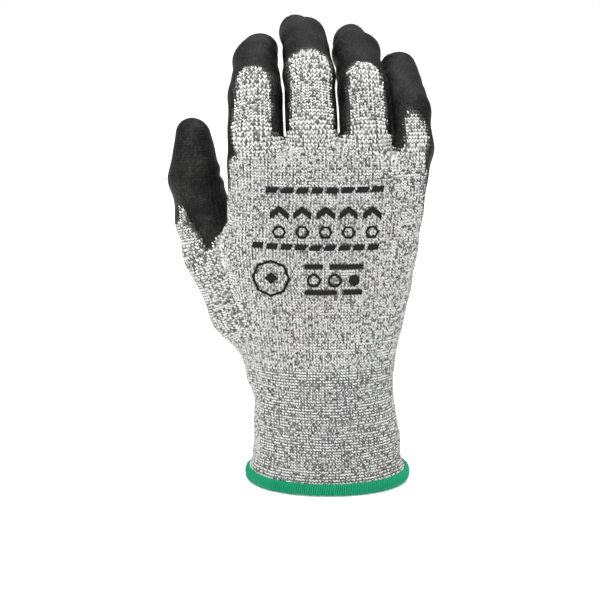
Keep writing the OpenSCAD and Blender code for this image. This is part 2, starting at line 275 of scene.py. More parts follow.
def waves(p):
    a = np.sin(p @ np.array([0.31, 0.12, 0.09]) + 1.3) * np.sin(p @ np.array([-0.07, 0.21, 0.26]))
    b = np.sin(p @ np.array([0.11, -0.33, 0.17]) + 0.4) * np.sin(p @ np.array([0.23, 0.05, -0.19]) + 2)
    return 0.28 * a + 0.2 * b


def creases(p):
    depth = np.zeros(len(p))
    for digit in DIGITS:
        line = LINES[digit]
        for i in range(len(STAGES[digit])):
            before = unit(line[i] - line[i - 1]) if i else np.array([0.0, 0.0, 1.0])
            after = unit(line[i + 1] - line[i])
            along = unit(before + after)
            inward = unit(PALM_SIDE[digit] - along * (PALM_SIDE[digit] @ along))
            offset = p - line[i]
            s, q = offset @ along, offset @ inward
            radius = RADII[digit][i]
            near = np.linalg.norm(offset, axis=1) < 1.7 * radius
            share = np.clip(q / radius, 0, 1) ** 1.5 * near
            rolls = ROLL_SHARE * bell(np.abs(s), ROLL_PLACE, ROLL_WIDTH)
            depth += CREASE_DEPTH * (bell(s, 0, CREASE_WIDTH) - rolls) * share
    return depth


def thumb_folds(p):
    """A ridge up the back of the thumb, and fine gathers beside the web."""
    centre = LINES["thumb"][1]
    facing = np.degrees(np.arctan2(p[:, 0] - centre[0], centre[1] - p[:, 1]))
    near = bell(np.linalg.norm(p[:, :2] - centre[:2], axis=1), 0, 17, 6)
    ridge = 0.45 * bell(facing, -8, 7) * bell(p[:, 2], 142, 14, 4)
    gathers = 0.2 * np.cos(facing / 9 * 2 * np.pi) * bell(facing, 48, 24) * bell(p[:, 2], 128, 12)
    return near * (ridge + gathers)


def finger_gap(p, parts):
    """Positive in the thin gap that keeps two fingers apart above the web between them."""
    nearest = np.sort(parts[:, 2:], axis=1)
    slab = (FINGER_GAP - (nearest[:, 1] - nearest[:, 0])) / 2
    return np.minimum(slab, p[:, 2] - np.interp(p[:, 0], *WEB_TOP))


def surface(p):
    parts = parts_distance(p)
    hand = smooth_min(parts[:, 0], parts[:, 1], SOFT["hand"])
    total = hand
    for i in range(len(FINGERS)):
        total = np.minimum(total, smooth_min(hand, parts[:, 2 + i], SOFT["finger root"]))
    return np.maximum(total - waves(p) + creases(p) - thumb_folds(p), finger_gap(p, parts))


def outward(p, step=0.25):
    """Unit direction away from the surface at each point."""
    corners = np.array([(1, -1, -1), (-1, -1, 1), (-1, 1, -1), (1, 1, 1)], float)
    return unit(sum(c * surface(p + c * step)[:, None] for c in corners))


def onto_surface(p, rounds=4, most=1.5):
    p = p.copy()
    for _ in range(rounds):
        p -= np.clip(surface(p), -most, most)[:, None] * outward(p)
    return p


# %% [markdown]
# ## One skin for the whole glove
# Surface nets turn the field into an even sheet of four-sided faces: one point in every grid cell
# that the surface passes through, joined to its neighbours. The points are then relaxed sideways
# and pulled back onto the surface. The grid stops at the wrist, which leaves the opening.

# %% Surface nets
CELL = 1.05
EDGE_Z = 1.2


def surface_net(low, high, cell):
    counts = np.ceil((high - low) / cell).astype(int) + 1
    axes = [low[i] + cell * np.arange(counts[i]) for i in range(3)]
    values = np.empty(counts, np.float32)
    for i, x in enumerate(axes[0]):
        y, z = np.meshgrid(axes[1], axes[2], indexing="ij")
        values[i] = surface(np.stack([np.full(y.size, x), y.ravel(), z.ravel()], 1)).reshape(y.shape)
    inside = values < 0
    corners = [(i, j, k) for i in (0, 1) for j in (0, 1) for k in (0, 1)]
    size = counts - 1
    count = sum(
        inside[i:i + size[0], j:j + size[1], k:k + size[2]].astype(np.int8) for i, j, k in corners
    )
    cells = np.argwhere((count > 0) & (count < 8))
    at_corner = np.stack([values[tuple((cells + c).T)] for c in corners], 1)
    total, hits = np.zeros((len(cells), 3)), np.zeros(len(cells))
    for a, ca in enumerate(corners):
        for b, cb in enumerate(corners):
            if a < b and sum(abs(np.subtract(ca, cb))) == 1:
                va, vb = at_corner[:, a], at_corner[:, b]
                crossed = (va < 0) != (vb < 0)
                t = np.where(crossed, va / np.where(crossed, va - vb, 1), 0)
                total += crossed[:, None] * (np.array(ca) + t[:, None] * np.subtract(cb, ca))
                hits += crossed
    points = low + cell * (cells + total / hits[:, None])
    index = np.full(size, -1)
    index[tuple(cells.T)] = np.arange(len(cells))
    quads = []
    for axis in range(3):
        u, v = (axis + 1) % 3, (axis + 2) % 3
        shift = np.eye(3, dtype=int)
        first = np.take(inside, range(counts[axis] - 1), axis)
        second = np.take(inside, range(1, counts[axis]), axis)
        edges = np.argwhere(first != second)
        inner = [(edges[:, w] > 0) & (edges[:, w] < size[w]) for w in (u, v)]
        edges = edges[inner[0] & inner[1]]
        ring = [edges - shift[u] - shift[v], edges - shift[v], edges, edges - shift[u]]
        quad = np.stack([index[tuple(r.T)] for r in ring], 1)
        outside_first = ~inside[tuple(edges.T)]
        quad[outside_first] = quad[outside_first][:, ::-1]
        quads.append(quad)
    return points, np.concatenate(quads)


def face_edges(faces):
    """Both ends of every side of every face, in the direction that the face uses them."""
    return np.stack([faces, np.roll(faces, -1, 1)], 2).reshape(-1, 2)


def boundary_edges(faces):
    """Edges used by one face only."""
    edges = face_edges(faces)
    big = faces.max() + 1
    forward = edges[:, 0] * big + edges[:, 1]
    backward = edges[:, 1] * big + edges[:, 0]
    return edges[~np.isin(forward, backward)]


def relax(points, quads, rounds):
    edges = face_edges(quads)
    rim = np.unique(boundary_edges(quads))
    rim = rim[points[rim, 2] < EDGE_Z + 2 * CELL]
    for _ in range(rounds):
        mean, number = np.zeros_like(points), np.zeros(len(points))
        for a, b in ((0, 1), (1, 0)):
            np.add.at(mean, edges[:, a], points[edges[:, b]])
            np.add.at(number, edges[:, a], 1)
        moved = mean / number[:, None]
        moved[rim] = points[rim]
        points = onto_surface(0.5 * points + 0.5 * moved, rounds=1)
        points[rim, 2] = EDGE_Z
    return points


NET_LOW = np.array([-76.0, -32.0, EDGE_Z])
NET_HIGH = np.array([54.0, 66.0, 209.0])
SKIN, QUADS = surface_net(NET_LOW, NET_HIGH, CELL)
SKIN = relax(SKIN, QUADS, 6)
SKIN_NORMALS = outward(SKIN)
print("skin:", len(SKIN), "points,", len(QUADS), "faces")
print("skin box in mm:", SKIN.min(0).round(1), SKIN.max(0).round(1))


# %% [markdown]
# ## Which part of the glove is a point on?
# Each digit bends at its joints, so the skin is divided halfway between joints into zones. Inside
# a zone the fabric turns smoothly from one body to the next. The zone of a finger root starts
# above the web between the fingers, so the web never tears.

# %% Zones
SHARE_TO_BORDER = {"root": 0.6, "middle": 0.5}
OWNER = {d: 1 if d == "thumb" else 2 + FINGERS.index(d) for d in DIGITS}
# The hand keeps this much more of the skin between it and a finger.
HAND_GAIN = 0.3
# A finger's first zone may begin this far below its root joint.
ZONE_DROP = 4
# The web is looked for in this share of the first segment, and bending starts a little above it.
WEB_SHARE = 0.4
WEB_MARGIN = 0.3
MOST_BEND = 9.0


def digit_frame(digit):
    """Joint centres of a digit, and the direction and length of each of its segments."""
    line = LINES[digit]
    steps = np.diff(line, axis=0)
    return line, [unit(step) for step in steps], np.linalg.norm(steps, axis=1)


def owner_of(p):
    """0 for the palm and cuff, 1 for the thumb and its ball, 2 to 5 for the fingers."""
    parts = parts_distance(p)
    parts[:, 2:] += HAND_GAIN
    return parts.argmin(1)


def zones_of(p):
    """Zone number of every point: 0 is the hand, and each digit's joints follow in order."""
    owner = owner_of(p)
    zone = np.zeros(len(p), int)
    number = 1
    for digit in DIGITS:
        line, ways, lengths = digit_frame(digit)
        inside = (owner == OWNER[digit]) & ((p - line[0]) @ ways[0] > -ZONE_DROP)
        for i, stage in enumerate(STAGES[digit]):
            zone[inside] = number
            if i + 1 < len(STAGES[digit]):
                border = line[i] + ways[i] * lengths[i] * SHARE_TO_BORDER[stage]
                inside = inside & ((p - border) @ ways[i] > 0)
            number += 1
    return zone


ZONE_NAMES = ["hand"] + [f"{d}_{stage}" for d in DIGITS for stage in STAGES[d]]
FACE_ZONES = zones_of(SKIN[QUADS].mean(1))
SKIN_OWNER = owner_of(SKIN)


def web_height(digit):
    """How far past the root joint, along the finger, its skin still touches a neighbour."""
    edges = face_edges(QUADS)
    mine = SKIN_OWNER[edges] == OWNER[digit]
    shared = edges[mine[:, 0] & ~mine[:, 1]].ravel()
    line, ways, lengths = digit_frame(digit)
    along = (SKIN[shared] - line[0]) @ ways[0]
    return along[along < WEB_SHARE * lengths[0]].max() + WEB_MARGIN


WEB = {d: web_height(d) for d in DIGITS}
print("web above each root joint in mm:", {d: round(float(v), 1) for d, v in WEB.items()})


def bend_span(digit, i):
    """Start and end of the fabric that turns at joint i of a digit."""
    line, ways, lengths = digit_frame(digit)
    if i == 0:
        reach = lengths[0] * SHARE_TO_BORDER["root"]
        return line[0] + ways[0] * WEB[digit], line[0] + ways[0] * reach
    along = unit(ways[i - 1] + ways[i])
    tilt = RADII[digit][i] * np.sqrt(max(0.0, 1 - (along @ ways[i]) ** 2))
    stage = STAGES[digit][i - 1]
    before = lengths[i - 1] * (1 - SHARE_TO_BORDER[stage]) - tilt
    after = MOST_BEND
    if i + 1 < len(STAGES[digit]):
        after = lengths[i] * SHARE_TO_BORDER[STAGES[digit][i]] - tilt
    return line[i] - along * min(before, MOST_BEND), line[i] + along * min(after, MOST_BEND)


BODY_BEFORE = {joint["name"]: joint["parent"] for joint in frame["joints"]}
BODY_AFTER = {joint["name"]: joint["child"] for joint in frame["joints"]}


def fasten(piece, zone_name, stands_for):
    """Lets a piece follow the frame, and hides the plain solids that it stands for."""
    if zone_name == "hand":
        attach(piece, "hand")
    else:
        digit, stage = zone_name.split("_")
        start, end = bend_span(digit, STAGES[digit].index(stage))
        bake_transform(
            piece, BODY_BEFORE[zone_name], BODY_AFTER[zone_name],
            tuple(start * MM), tuple(end * MM),
        )
    if stands_for:
        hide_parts(*stands_for)


# %% [markdown]
# ## Where the coating runs
# The palm is dipped: the coating covers the palm, the sides of the fingers and every fingertip,
# and it soaks a little way round to the back. On the back each finger keeps a tongue of bare
# knit with a round end. The edge is described as a distance in millimetres, positive where the
# glove is coated, so the same function cuts the film and places the bare stitches.

# %% Coating edge
# Bare knit on the back of each finger: width to the thumb side, width to the other side, and top.
TONGUES = {
    "index": (9.6, 7.0, 25.5), "middle": (9.6, 11.0, 32.0),
    "ring": (7.2, 10.2, 27.0), "little": (3.6, 7.2, 14.5),
}
TONGUE_END = 10.0
COAT_START = 66.0
# Heights, and the depth of the edge there, along the two sides of the palm.
THUMB_SIDE = ([90, 100, 110, 118, 126, 136, 150, 160], [9, 7, 4.5, 2.5, 0, -3.0, -4.8, -5.5])
LITTLE_SIDE = ([80, 94, 101, 120, 150, 160], [9, 3.5, 0, -2.5, -4.8, -5.2])
# Heights, and the way the surface faces in degrees, for the edges on the thumb.
OUTER_EDGE = ([66, 100, 108, 111, 117, 122, 125], [-118, -108, -98, -90, -60, -52, -52])
LOBE_LEFT = ([103.3, 105.5, 107.6, 111, 117, 122, 125], [2, -10, -18, -21, -22, -34, -52])
LOBE_RIGHT = ([103.3, 106.6, 113.4, 120, 124], [2, 22, 45, 60, 200])
INNER_EDGE = 115
THUMB_COATED_ABOVE = 124.5
EDGE_LIMIT = 9


def speckle(p, size):
    """Even noise from -1 to 1, with bumps about size millimetres wide."""
    q = p / size * 2.4
    a = np.sin(q[:, 0] * 1.7 + 1.1 * np.sin(q[:, 2] * 1.3))
    b = np.sin(q[:, 1] * 1.9 + 1.7 * np.sin(q[:, 0]))
    return (a + b + np.sin(q[:, 2] * 1.6 + 1.3 * np.sin(q[:, 1] * 1.2 + 2.0))) / 3


def along_digit(p, digit):
    """Distance along a digit, sideways offset and offset to the palm side, for every point."""
    line, ways, lengths = digit_frame(digit)
    starts = np.concatenate([[0], np.cumsum(lengths)])
    best = np.full(len(p), 1e9)
    along, aside, inward_out = np.zeros(len(p)), np.zeros(len(p)), np.zeros(len(p))
    for i, way in enumerate(ways):
        offset = p - line[i]
        s = offset @ way
        low_end = -60 if i == 0 else 0
        high_end = 60 if i == len(ways) - 1 else lengths[i]
        inward = unit(PALM_SIDE[digit] - way * (PALM_SIDE[digit] @ way))
        sideways = np.cross(inward, way)
        s = np.clip(s, low_end, high_end)
        gap = np.linalg.norm(offset - s[:, None] * way, axis=1)
        closer = gap < best
        best[closer] = gap[closer]
        along[closer] = (starts[i] + s)[closer]
        aside[closer] = (offset @ sideways)[closer]
        inward_out[closer] = (offset @ inward)[closer]
    return along, aside, inward_out


def finger_coating(p, digit):
    left, right, top = TONGUES[digit]
    along, aside, inward = along_digit(p, digit)
    angle = np.arctan2(np.abs(aside), -inward)
    arc = RADII[digit][1] * angle
    width = np.where(aside < 0, left, right)
    if digit == "index":
        width = width + np.clip(12 - along, 0, 12) * 0.2 * (aside < 0)
    past = np.maximum(along - (top - TONGUE_END), 0) / TONGUE_END
    coat = (np.hypot(arc / width, past) - 1) * width
    # Between the fingers the film ends bluntly at the web. Down the two outer edges it runs on.
    outer_edge = (digit == "index") * (aside < 0) | (digit == "little") * (aside > 0)
    return np.where(outer_edge, coat, np.minimum(coat, along + 1.5 + 2 * np.maximum(inward - 2, 0)))


def palm_coating(p):
    z = p[:, 2]
    centre, half, _, _, _ = oval(z)
    t = np.clip((p[:, 0] - centre) / half * 0.5 + 0.5, 0, 1)
    edge = np.interp(z, *THUMB_SIDE) * (1 - t) + np.interp(z, *LITTLE_SIDE) * t
    start = COAT_START + 1.8 * np.sin(p[:, 0] / 11) + 1.2 * np.sin(p[:, 0] / 4.3 + 1)
    return np.minimum(p[:, 1] - edge, z - start)


def thumb_coating(p, normals):
    """Coated all over above its knuckle. Below it a rounded lobe runs down the back of the thumb."""
    z = p[:, 2]
    facing = np.degrees(np.arctan2(normals[:, 0], -normals[:, 1]))
    lobe = np.minimum(facing - np.interp(z, *LOBE_LEFT), np.interp(z, *LOBE_RIGHT) - facing)
    sides = np.maximum(np.interp(z, *OUTER_EDGE) - facing, facing - INNER_EDGE)
    degree = np.radians(RADII["thumb"][0])
    coat = np.maximum(sides, lobe) * degree + np.maximum(z - THUMB_COATED_ABOVE, 0)
    return np.minimum(coat, z - COAT_START)


def coating_edge(p, normals):
    parts = parts_distance(p)
    weights = np.exp(-(parts - parts.min(1, keepdims=True)) / 0.8)
    weights /= weights.sum(1, keepdims=True)
    edges = [palm_coating(p), thumb_coating(p, normals)] + [finger_coating(p, d) for d in FINGERS]
    total = sum(
        np.clip(e, -EDGE_LIMIT, EDGE_LIMIT) * weights[:, i] for i, e in enumerate(edges)
    )
    return total + 0.45 * speckle(p, 5.0) + 0.3 * speckle(p + 31, 2.2)


SKIN_COAT = coating_edge(SKIN, SKIN_NORMALS)
print("coated share of the skin:", round(float((SKIN_COAT > 0).mean()), 2))


# %% [markdown]
# ## Materials
# Every colour is written as the screen colour a person would pick, and one function turns it
# into linear light. The other small functions each add one kind of node.

# %% Colour and node helpers
def linear(hex_colour):
    s = np.array([int(hex_colour[i:i + 2], 16) for i in (1, 3, 5)]) / 255
    return (*np.where(s <= 0.04045, s / 12.92, ((s + 0.055) / 1.055) ** 2.4), 1.0)


def add_node(tree, kind, inputs=None, **settings):
    node = tree.nodes.new(kind)
    for name, value in settings.items():
        setattr(node, name, value)
    for name, value in (inputs or {}).items():
        if isinstance(value, bpy.types.NodeSocket):
            tree.links.new(value, node.inputs[name])
        else:
            node.inputs[name].default_value = value
    return node


def add_math(tree, operation, a, b):
    return add_node(tree, "ShaderNodeMath", {0: a, 1: b}, operation=operation).outputs[0]


def add_noise(tree, place, scale, detail=3.0):
    node = add_node(tree, "ShaderNodeTexNoise", {"Vector": place, "Scale": scale, "Detail": detail})
    return node.outputs["Fac"]


def add_mix(tree, factor, dark, light):
    return add_node(tree, "ShaderNodeMix", {
        "Factor": factor, 6: linear(dark), 7: linear(light),
    }, data_type="RGBA").outputs[2]


def add_bump(tree, height, strength, distance):
    return add_node(tree, "ShaderNodeBump", {
        "Height": height, "Strength": strength, "Distance": distance,
    }).outputs[0]


def stored(tree, name):
    return add_node(tree, "ShaderNodeAttribute", attribute_name=name).outputs


def new_material(name):
    material = bpy.data.materials.new(name)
    material.use_nodes = True
    material.node_tree.nodes.clear()
    return material, material.node_tree


def finish_material(tree, inputs):
    shader = add_node(tree, "ShaderNodeBsdfPrincipled", inputs)
    add_node(tree, "ShaderNodeOutputMaterial", {"Surface": shader.outputs[0]})


# %% [markdown]
# ### Cut resistant yarn
# The yarn twists white polyethylene fibre with dark glass or steel fibre, so short stretches of
# one yarn come out almost white or almost black. Spun fibre is matt with a soft rim of light,
# which is the sheen. The stitches are modelled, so each shade is one even material,
# and a random draw for every half leg of a stitch picks among them.

# %% Yarn shades
YARN_SHADES = {
    "yarn_dark_fibre": "#454546",
    "yarn_grey_twist": "#757575",
    "yarn_light_grey": "#A6A6A5",
    "yarn_pale_fibre": "#C0C0BE",
    "yarn_white_fibre": "#D2D2D0",
}


def yarn_material(name, colour):
    material, tree = new_material(name)
    finish_material(tree, {
        "Base Color": linear(colour), "Roughness": 0.82, "IOR": 1.5,
        "Sheen Weight": 0.2, "Sheen Roughness": 0.5, "Specular IOR Level": 0.3,
    })
    return material


YARN = [yarn_material(name, colour) for name, colour in YARN_SHADES.items()]
INKED_YARN = yarn_material("yarn_soaked_black", "#1D1D1E")


# %% [markdown]
# ### Knit ground
# Between the stitches the eye meets the shaded inside of the loops. The ground is painted shade: a grey
# darker than the yarn that varies in fine rows. It reads the rest place of each point, which is stored on
# the mesh, so the pattern stays put when a finger bends.

# %% Knit ground
def knit_ground_material():
    material, tree = new_material("knit_ground")
    place = stored(tree, "rest_co")["Vector"]
    rows = add_node(tree, "ShaderNodeTexWave", {
        "Vector": place, "Scale": 230.0, "Distortion": 3.0, "Detail": 2.0, "Detail Scale": 3.0,
    }, bands_direction="Z").outputs["Fac"]
    mixed = add_math(tree, "MULTIPLY", rows, add_noise(tree, place, 900.0))
    finish_material(tree, {
        # Dark to light grey: painted shade between the stitches, varied in fine rows.
        "Base Color": add_mix(tree, mixed, "#6C6C6C", "#C6C6C4"),
        "Normal": add_bump(tree, mixed, 0.6, 0.0005),
        "Roughness": 0.9, "Sheen Weight": 0.2, "Specular IOR Level": 0.25,
    })
    return material


KNIT_GROUND = knit_ground_material()


# %% [markdown]
# ### Polyurethane dip
# Polyurethane dries to a thin satin film that sinks between the stitches. The film's colour is a
# warm near-black that is a little paler on top of every stitch, partly because the film is stretched
# thinnest there and partly as a painted highlight on the raised ridges. Its gloss is broken by pores and by
# a fine grain.

# %% Coating film
def coating_material():
    material, tree = new_material("polyurethane_dip")
    place = stored(tree, "rest_co")["Vector"]
    # Squeezed along Z, the grain follows the wales of the knit that show through the film.
    along = add_node(tree, "ShaderNodeMapping", {"Vector": place, "Scale": (1.0, 1.0, 0.4)})
    grain = add_noise(tree, along.outputs[0], 1250.0)
    pores = add_noise(tree, place, 2400.0, 2.0)
    fibres = add_math(tree, "MULTIPLY", grain, add_noise(tree, place, 110.0))
    specks = add_math(tree, "MULTIPLY", fibres, pores)
    # Paler on the raised tops of the stitches: partly the film stretched thin over the yarn, partly a
    # painted highlight.
    thin_film_and_highlight = add_math(tree, "MULTIPLY", stored(tree, "relief")["Fac"], 0.14)
    spread = add_node(tree, "ShaderNodeMapRange", {
        "Value": add_math(tree, "ADD", specks, thin_film_and_highlight), "From Min": 0.16, "From Max": 0.26,
    })
    gloss = add_node(tree, "ShaderNodeMapRange", {"Value": pores, "To Min": 0.45, "To Max": 0.7})
    finish_material(tree, {
        "Base Color": add_mix(tree, spread.outputs[0], "#020202", "#232322"),
        "Roughness": gloss.outputs[0], "Normal": add_bump(tree, grain, 0.8, 0.0008),
        "IOR": 1.5, "Specular IOR Level": 0.15,
    })
    return material


COATING = coating_material()


# %% [markdown]
# ### Hem thread, elastic and ink
# The overlock thread is dyed green polyester, smoother and brighter than the cut resistant yarn.
# The elastic is pale covered rubber. The ink is a matt black that dries on top of the stitches.

# %% Thread, elastic and ink
def plain_material(name, colour, roughness, sheen, darker, scale, specular=0.4):
    """A thread or ink whose colour shifts a little from place to place."""
    material, tree = new_material(name)
    place = add_node(tree, "ShaderNodeTexCoord").outputs["Object"]
    noise = add_noise(tree, place, scale)
    finish_material(tree, {
        "Base Color": add_mix(tree, noise, darker, colour),
        "Normal": add_bump(tree, noise, 0.4, 0.0002), "Roughness": roughness,
        "Sheen Weight": sheen, "Specular IOR Level": specular,
    })
    return material


HEM_THREAD = plain_material("green_polyester_thread", "#0F8C63", 0.6, 0.0, "#0A7452", 700.0, 0.15)
# The core's darker green is painted shade that shows between the wraps.
HEM_CORE = plain_material("green_core_painted_shade", "#0C7A55", 0.8, 0.0, "#086245", 700.0, 0.15)
ELASTIC = plain_material("covered_elastic", "#DADAD4", 0.7, 0.1, "#B9B9B2", 900.0)
INK = plain_material("matt_black_print", "#0E0E0F", 0.8, 0.0, "#171718", 1500.0, 0.15)


# %% [markdown]
# ## Knit relief
# Plain knit shows a V in every stitch. The same pattern in wale and course numbers gives the
# coating its relief: the film sinks between the legs of the V and rides over them.

# %% Fabric coordinates and relief
WALE = 1.65
COURSE = 1.25
WALES_ROUND_HAND = 126
WALES_ROUND_DIGIT = 43
HAND_ANGLES = np.linspace(-np.pi, np.pi, 721)
MID_HAND = 110.0


def oval_points(z, angles, grow=0.0):
    centre, half, back, palm, n = oval(z)
    c, s = np.cos(angles), np.sin(angles)
    depth = np.where(s < 0, back, palm) + grow
    x = centre + (half + grow) * np.sign(c) * np.abs(c) ** (2 / n)
    return np.stack([x, depth * np.sign(s) * np.abs(s) ** (2 / n), np.full_like(x, z)], 1)


def round_length(z):
    steps = np.linalg.norm(np.diff(oval_points(z, HAND_ANGLES), axis=0), axis=1)
    return np.concatenate([[0], np.cumsum(steps)])


def fabric_coordinates(p):
    owner = owner_of(p)
    centre, half, back, palm, n = oval(p[:, 2])
    depth = np.where(p[:, 1] < 0, back, palm)
    x, y = (p[:, 0] - centre) / half, p[:, 1] / depth
    angle = np.arctan2(np.sign(y) * np.abs(y) ** (n / 2), np.sign(x) * np.abs(x) ** (n / 2))
    lengths = round_length(MID_HAND)
    wale = np.interp(angle, HAND_ANGLES, lengths) / lengths[-1] * WALES_ROUND_HAND
    course = p[:, 2] / COURSE
    for digit in DIGITS:
        mine = owner == OWNER[digit]
        if mine.any():
            along, aside, inward = along_digit(p[mine], digit)
            wale[mine] = np.arctan2(aside, inward) / (2 * np.pi) * WALES_ROUND_DIGIT
            course[mine] = along / COURSE
    return wale, course


def stitch_relief(p):
    """0 in the gaps and 1 on top of the legs."""
    wale, course = fabric_coordinates(p)
    across = np.abs(wale - np.floor(wale) - 0.5)
    legs = 0.5 + 0.5 * np.cos(2 * np.pi * (course - 0.9 * across))
    ridge = 0.65 + 0.35 * np.cos(4 * np.pi * (across - 0.25))
    return legs * ridge


# %% [markdown]
# ## Turning sheets into solid pieces
# Every layer is a closed solid: an outer sheet, an inner sheet with its faces turned round, and
# a strip that joins them along the border.

# %% Shell builder
def store(mesh, key, values):
    """Writes a number or a vector for every point of a mesh."""
    vector = values.ndim == 2
    attribute = mesh.attributes.new(key, "FLOAT_VECTOR" if vector else "FLOAT", "POINT")
    attribute.data.foreach_set("vector" if vector else "value", values.astype(np.float32).ravel())


def smooth_mesh(name, points, faces):
    mesh = bpy.data.meshes.new(name)
    mesh.from_pydata(points.tolist(), [], faces)
    mesh.polygons.foreach_set("use_smooth", np.ones(len(mesh.polygons), bool))
    return mesh


def put(name, data):
    """Makes an object and puts it in the scene."""
    item = bpy.data.objects.new(name, data)
    bpy.context.scene.collection.objects.link(item)
    return item


def mesh_piece(name, points, faces, material, normals, attributes=None):
    mesh = smooth_mesh(name, points * MM, faces.tolist())
    mesh.materials.append(material)
    for key, values in (attributes or {}).items():
        store(mesh, key, values)
    mesh.normals_split_custom_set_from_vertices(unit(normals).tolist())
    return put(name, mesh)


def shell(name, faces, outer, inner, normals, material, extra=None):
    """Closed solid between two sheets that share their faces."""
    used, local = np.unique(faces, return_inverse=True)
    local = local.reshape(faces.shape)
    count = len(used)
    rim = boundary_edges(local)
    walls = np.stack([rim[:, 1], rim[:, 0], rim[:, 0] + count, rim[:, 1] + count], 1)
    closed = np.concatenate([local, local[:, ::-1] + count, walls])
    points = np.concatenate([outer[used], inner[used]])
    both = np.concatenate([normals[used], -normals[used]])
    attributes = {"rest_co": points * MM}
    for key, values in (extra or {}).items():
        attributes[key] = np.concatenate([values[used], values[used]])
    return mesh_piece(name, points, closed, material, both, attributes)


def split_quads(points, quads, fields):
    """Every face becomes four. Returns new points, faces and the same fields on the new points."""
    edges = np.sort(face_edges(quads), axis=1)
    unique, where = np.unique(edges, axis=0, return_inverse=True)
    where = where.reshape(quads.shape) + len(points)
    centre = np.arange(len(quads)) + len(points) + len(unique)
    new_quads = np.stack([
        np.stack([quads[:, i], where[:, i], centre, where[:, i - 1]], 1) for i in range(4)
    ], 1).reshape(-1, 4)
    grown = [np.concatenate([f, f[unique].mean(1), f[quads].mean(1)]) for f in [points] + fields]
    return grown[0], new_quads, grown[1:]


# %% [markdown]
# ## Knit ground pieces
# The ground is the body of the fabric behind the stitches, about a millimetre thick. It is cut
# into one closed piece for each zone, and it stands for the plain solids of the frame.

# %% Ground
GROUND_TOP = -0.35
GROUND_BOTTOM = -1.15


def stands_for(zone_name, layer):
    """Plain solids of the frame that a zone's piece stands for."""
    if zone_name == "hand":
        return {"ground": ["palm_knit"], "coating": ["palm_coating"]}[layer]
    digit, stage = zone_name.split("_")
    segment = {"root": "base", "middle": "middle", "tip": "tip"}[stage]
    if layer == "ground":
        return [f"{digit}_{segment}_knit", f"{digit}_{stage}_bend"]
    return [f"{digit}_{segment}_coating"]


for number, zone_name in enumerate(ZONE_NAMES):
    faces = QUADS[FACE_ZONES == number]
    piece = shell(
        f"ground_{zone_name}", faces, SKIN + SKIN_NORMALS * GROUND_TOP,
        SKIN + SKIN_NORMALS * GROUND_BOTTOM, SKIN_NORMALS, KNIT_GROUND,
    )
    fasten(piece, zone_name, stands_for(zone_name, "ground"))
print("ground pieces:", len(ZONE_NAMES))


# %% [markdown]
# ## Coating pieces
# The coated faces are chosen with the edge function. Points next to the edge slide onto it, so the
# edge is a clean line and not a staircase. The film thins out towards the edge, as a dip does
# where it soaks into the yarn, and its outer sheet carries the knit relief.

# %% Coating
FILM_TOP = 0.42
FILM_EDGE = -0.1
FILM_BOTTOM = GROUND_TOP + 0.05
RELIEF = 0.08
FEATHER = 1.6


def snap_to_edge(points, edge, quads):
    """Slides the nearer end of every edge that crosses the border onto the border."""
    points, edge = points.copy(), edge.copy()
    edges = np.unique(np.sort(face_edges(quads), axis=1), axis=0)
    a, b = edges[:, 0], edges[:, 1]
    crossing = (edge[a] > 0) != (edge[b] > 0)
    a, b = a[crossing], b[crossing]
    t = edge[a] / (edge[a] - edge[b])
    near_a = t < 0.5
    moving = np.where(near_a, a, b)
    target = points[a] + t[:, None] * (points[b] - points[a])
    travel = np.where(near_a, t, 1 - t)
    order = np.argsort(-travel)
    points[moving[order]] = target[order]
    edge[moving] = 0
    return points, edge


coat_points, coat_edge = snap_to_edge(SKIN, SKIN_COAT, QUADS)
coated = (coat_edge[QUADS].min(1) >= 0) & (coat_edge[QUADS].max(1) > 0)
coat_zones = FACE_ZONES[coated]
coat_points, coat_quads, (coat_normals, coat_edge) = split_quads(
    coat_points, QUADS[coated], [SKIN_NORMALS, coat_edge]
)
coat_zones = np.repeat(coat_zones, 4)
used = np.unique(coat_quads)
coat_points[used] = onto_surface(coat_points[used], rounds=2)
coat_normals[used] = outward(coat_points[used])
relief = np.zeros(len(coat_points))
relief[used] = stitch_relief(coat_points[used])
fade = np.clip(coat_edge / FEATHER, 0, 1) ** 0.7
film = FILM_EDGE + (FILM_TOP - FILM_EDGE + RELIEF * (relief - 0.5)) * fade
COAT_OUTER = coat_points + coat_normals * film[:, None]
COAT_INNER = coat_points + coat_normals * FILM_BOTTOM


def sheet_normals(points, quads):
    a, b, c, d = (points[quads[:, i]] for i in range(4))
    across = np.cross(c - a, d - b)
    total = np.zeros_like(points)
    for i in range(4):
        np.add.at(total, quads[:, i], across)
    return unit(total)


COAT_NORMALS = sheet_normals(COAT_OUTER, coat_quads)
for number, zone_name in enumerate(ZONE_NAMES):
    piece = shell(
        f"coating_{zone_name}", coat_quads[coat_zones == number], COAT_OUTER, COAT_INNER,
        COAT_NORMALS, COATING, {"relief": relief},
    )
    fasten(piece, zone_name, stands_for(zone_name, "coating"))
print("coating faces:", len(coat_quads))


# %% [markdown]
# ## One stitch
# A stitch of plain knit is a loop, and its two legs make a V on the face of the fabric. Each leg
# is a short tapered tube that rises out of the loop below and dives behind the loop above.
# Thousands of them are needed, so one leg has only four sides and three lengths.

# %% Stitch meshes
def full_turn(count, offset=0.0):
    """Angles of a full turn in equal steps."""
    return 2 * np.pi * (np.arange(count) + offset) / count


def circle(turn, first, second):
    """Offsets on a unit circle that starts at the first direction and turns to the second."""
    return np.cos(turn)[:, None] * first + np.sin(turn)[:, None] * second


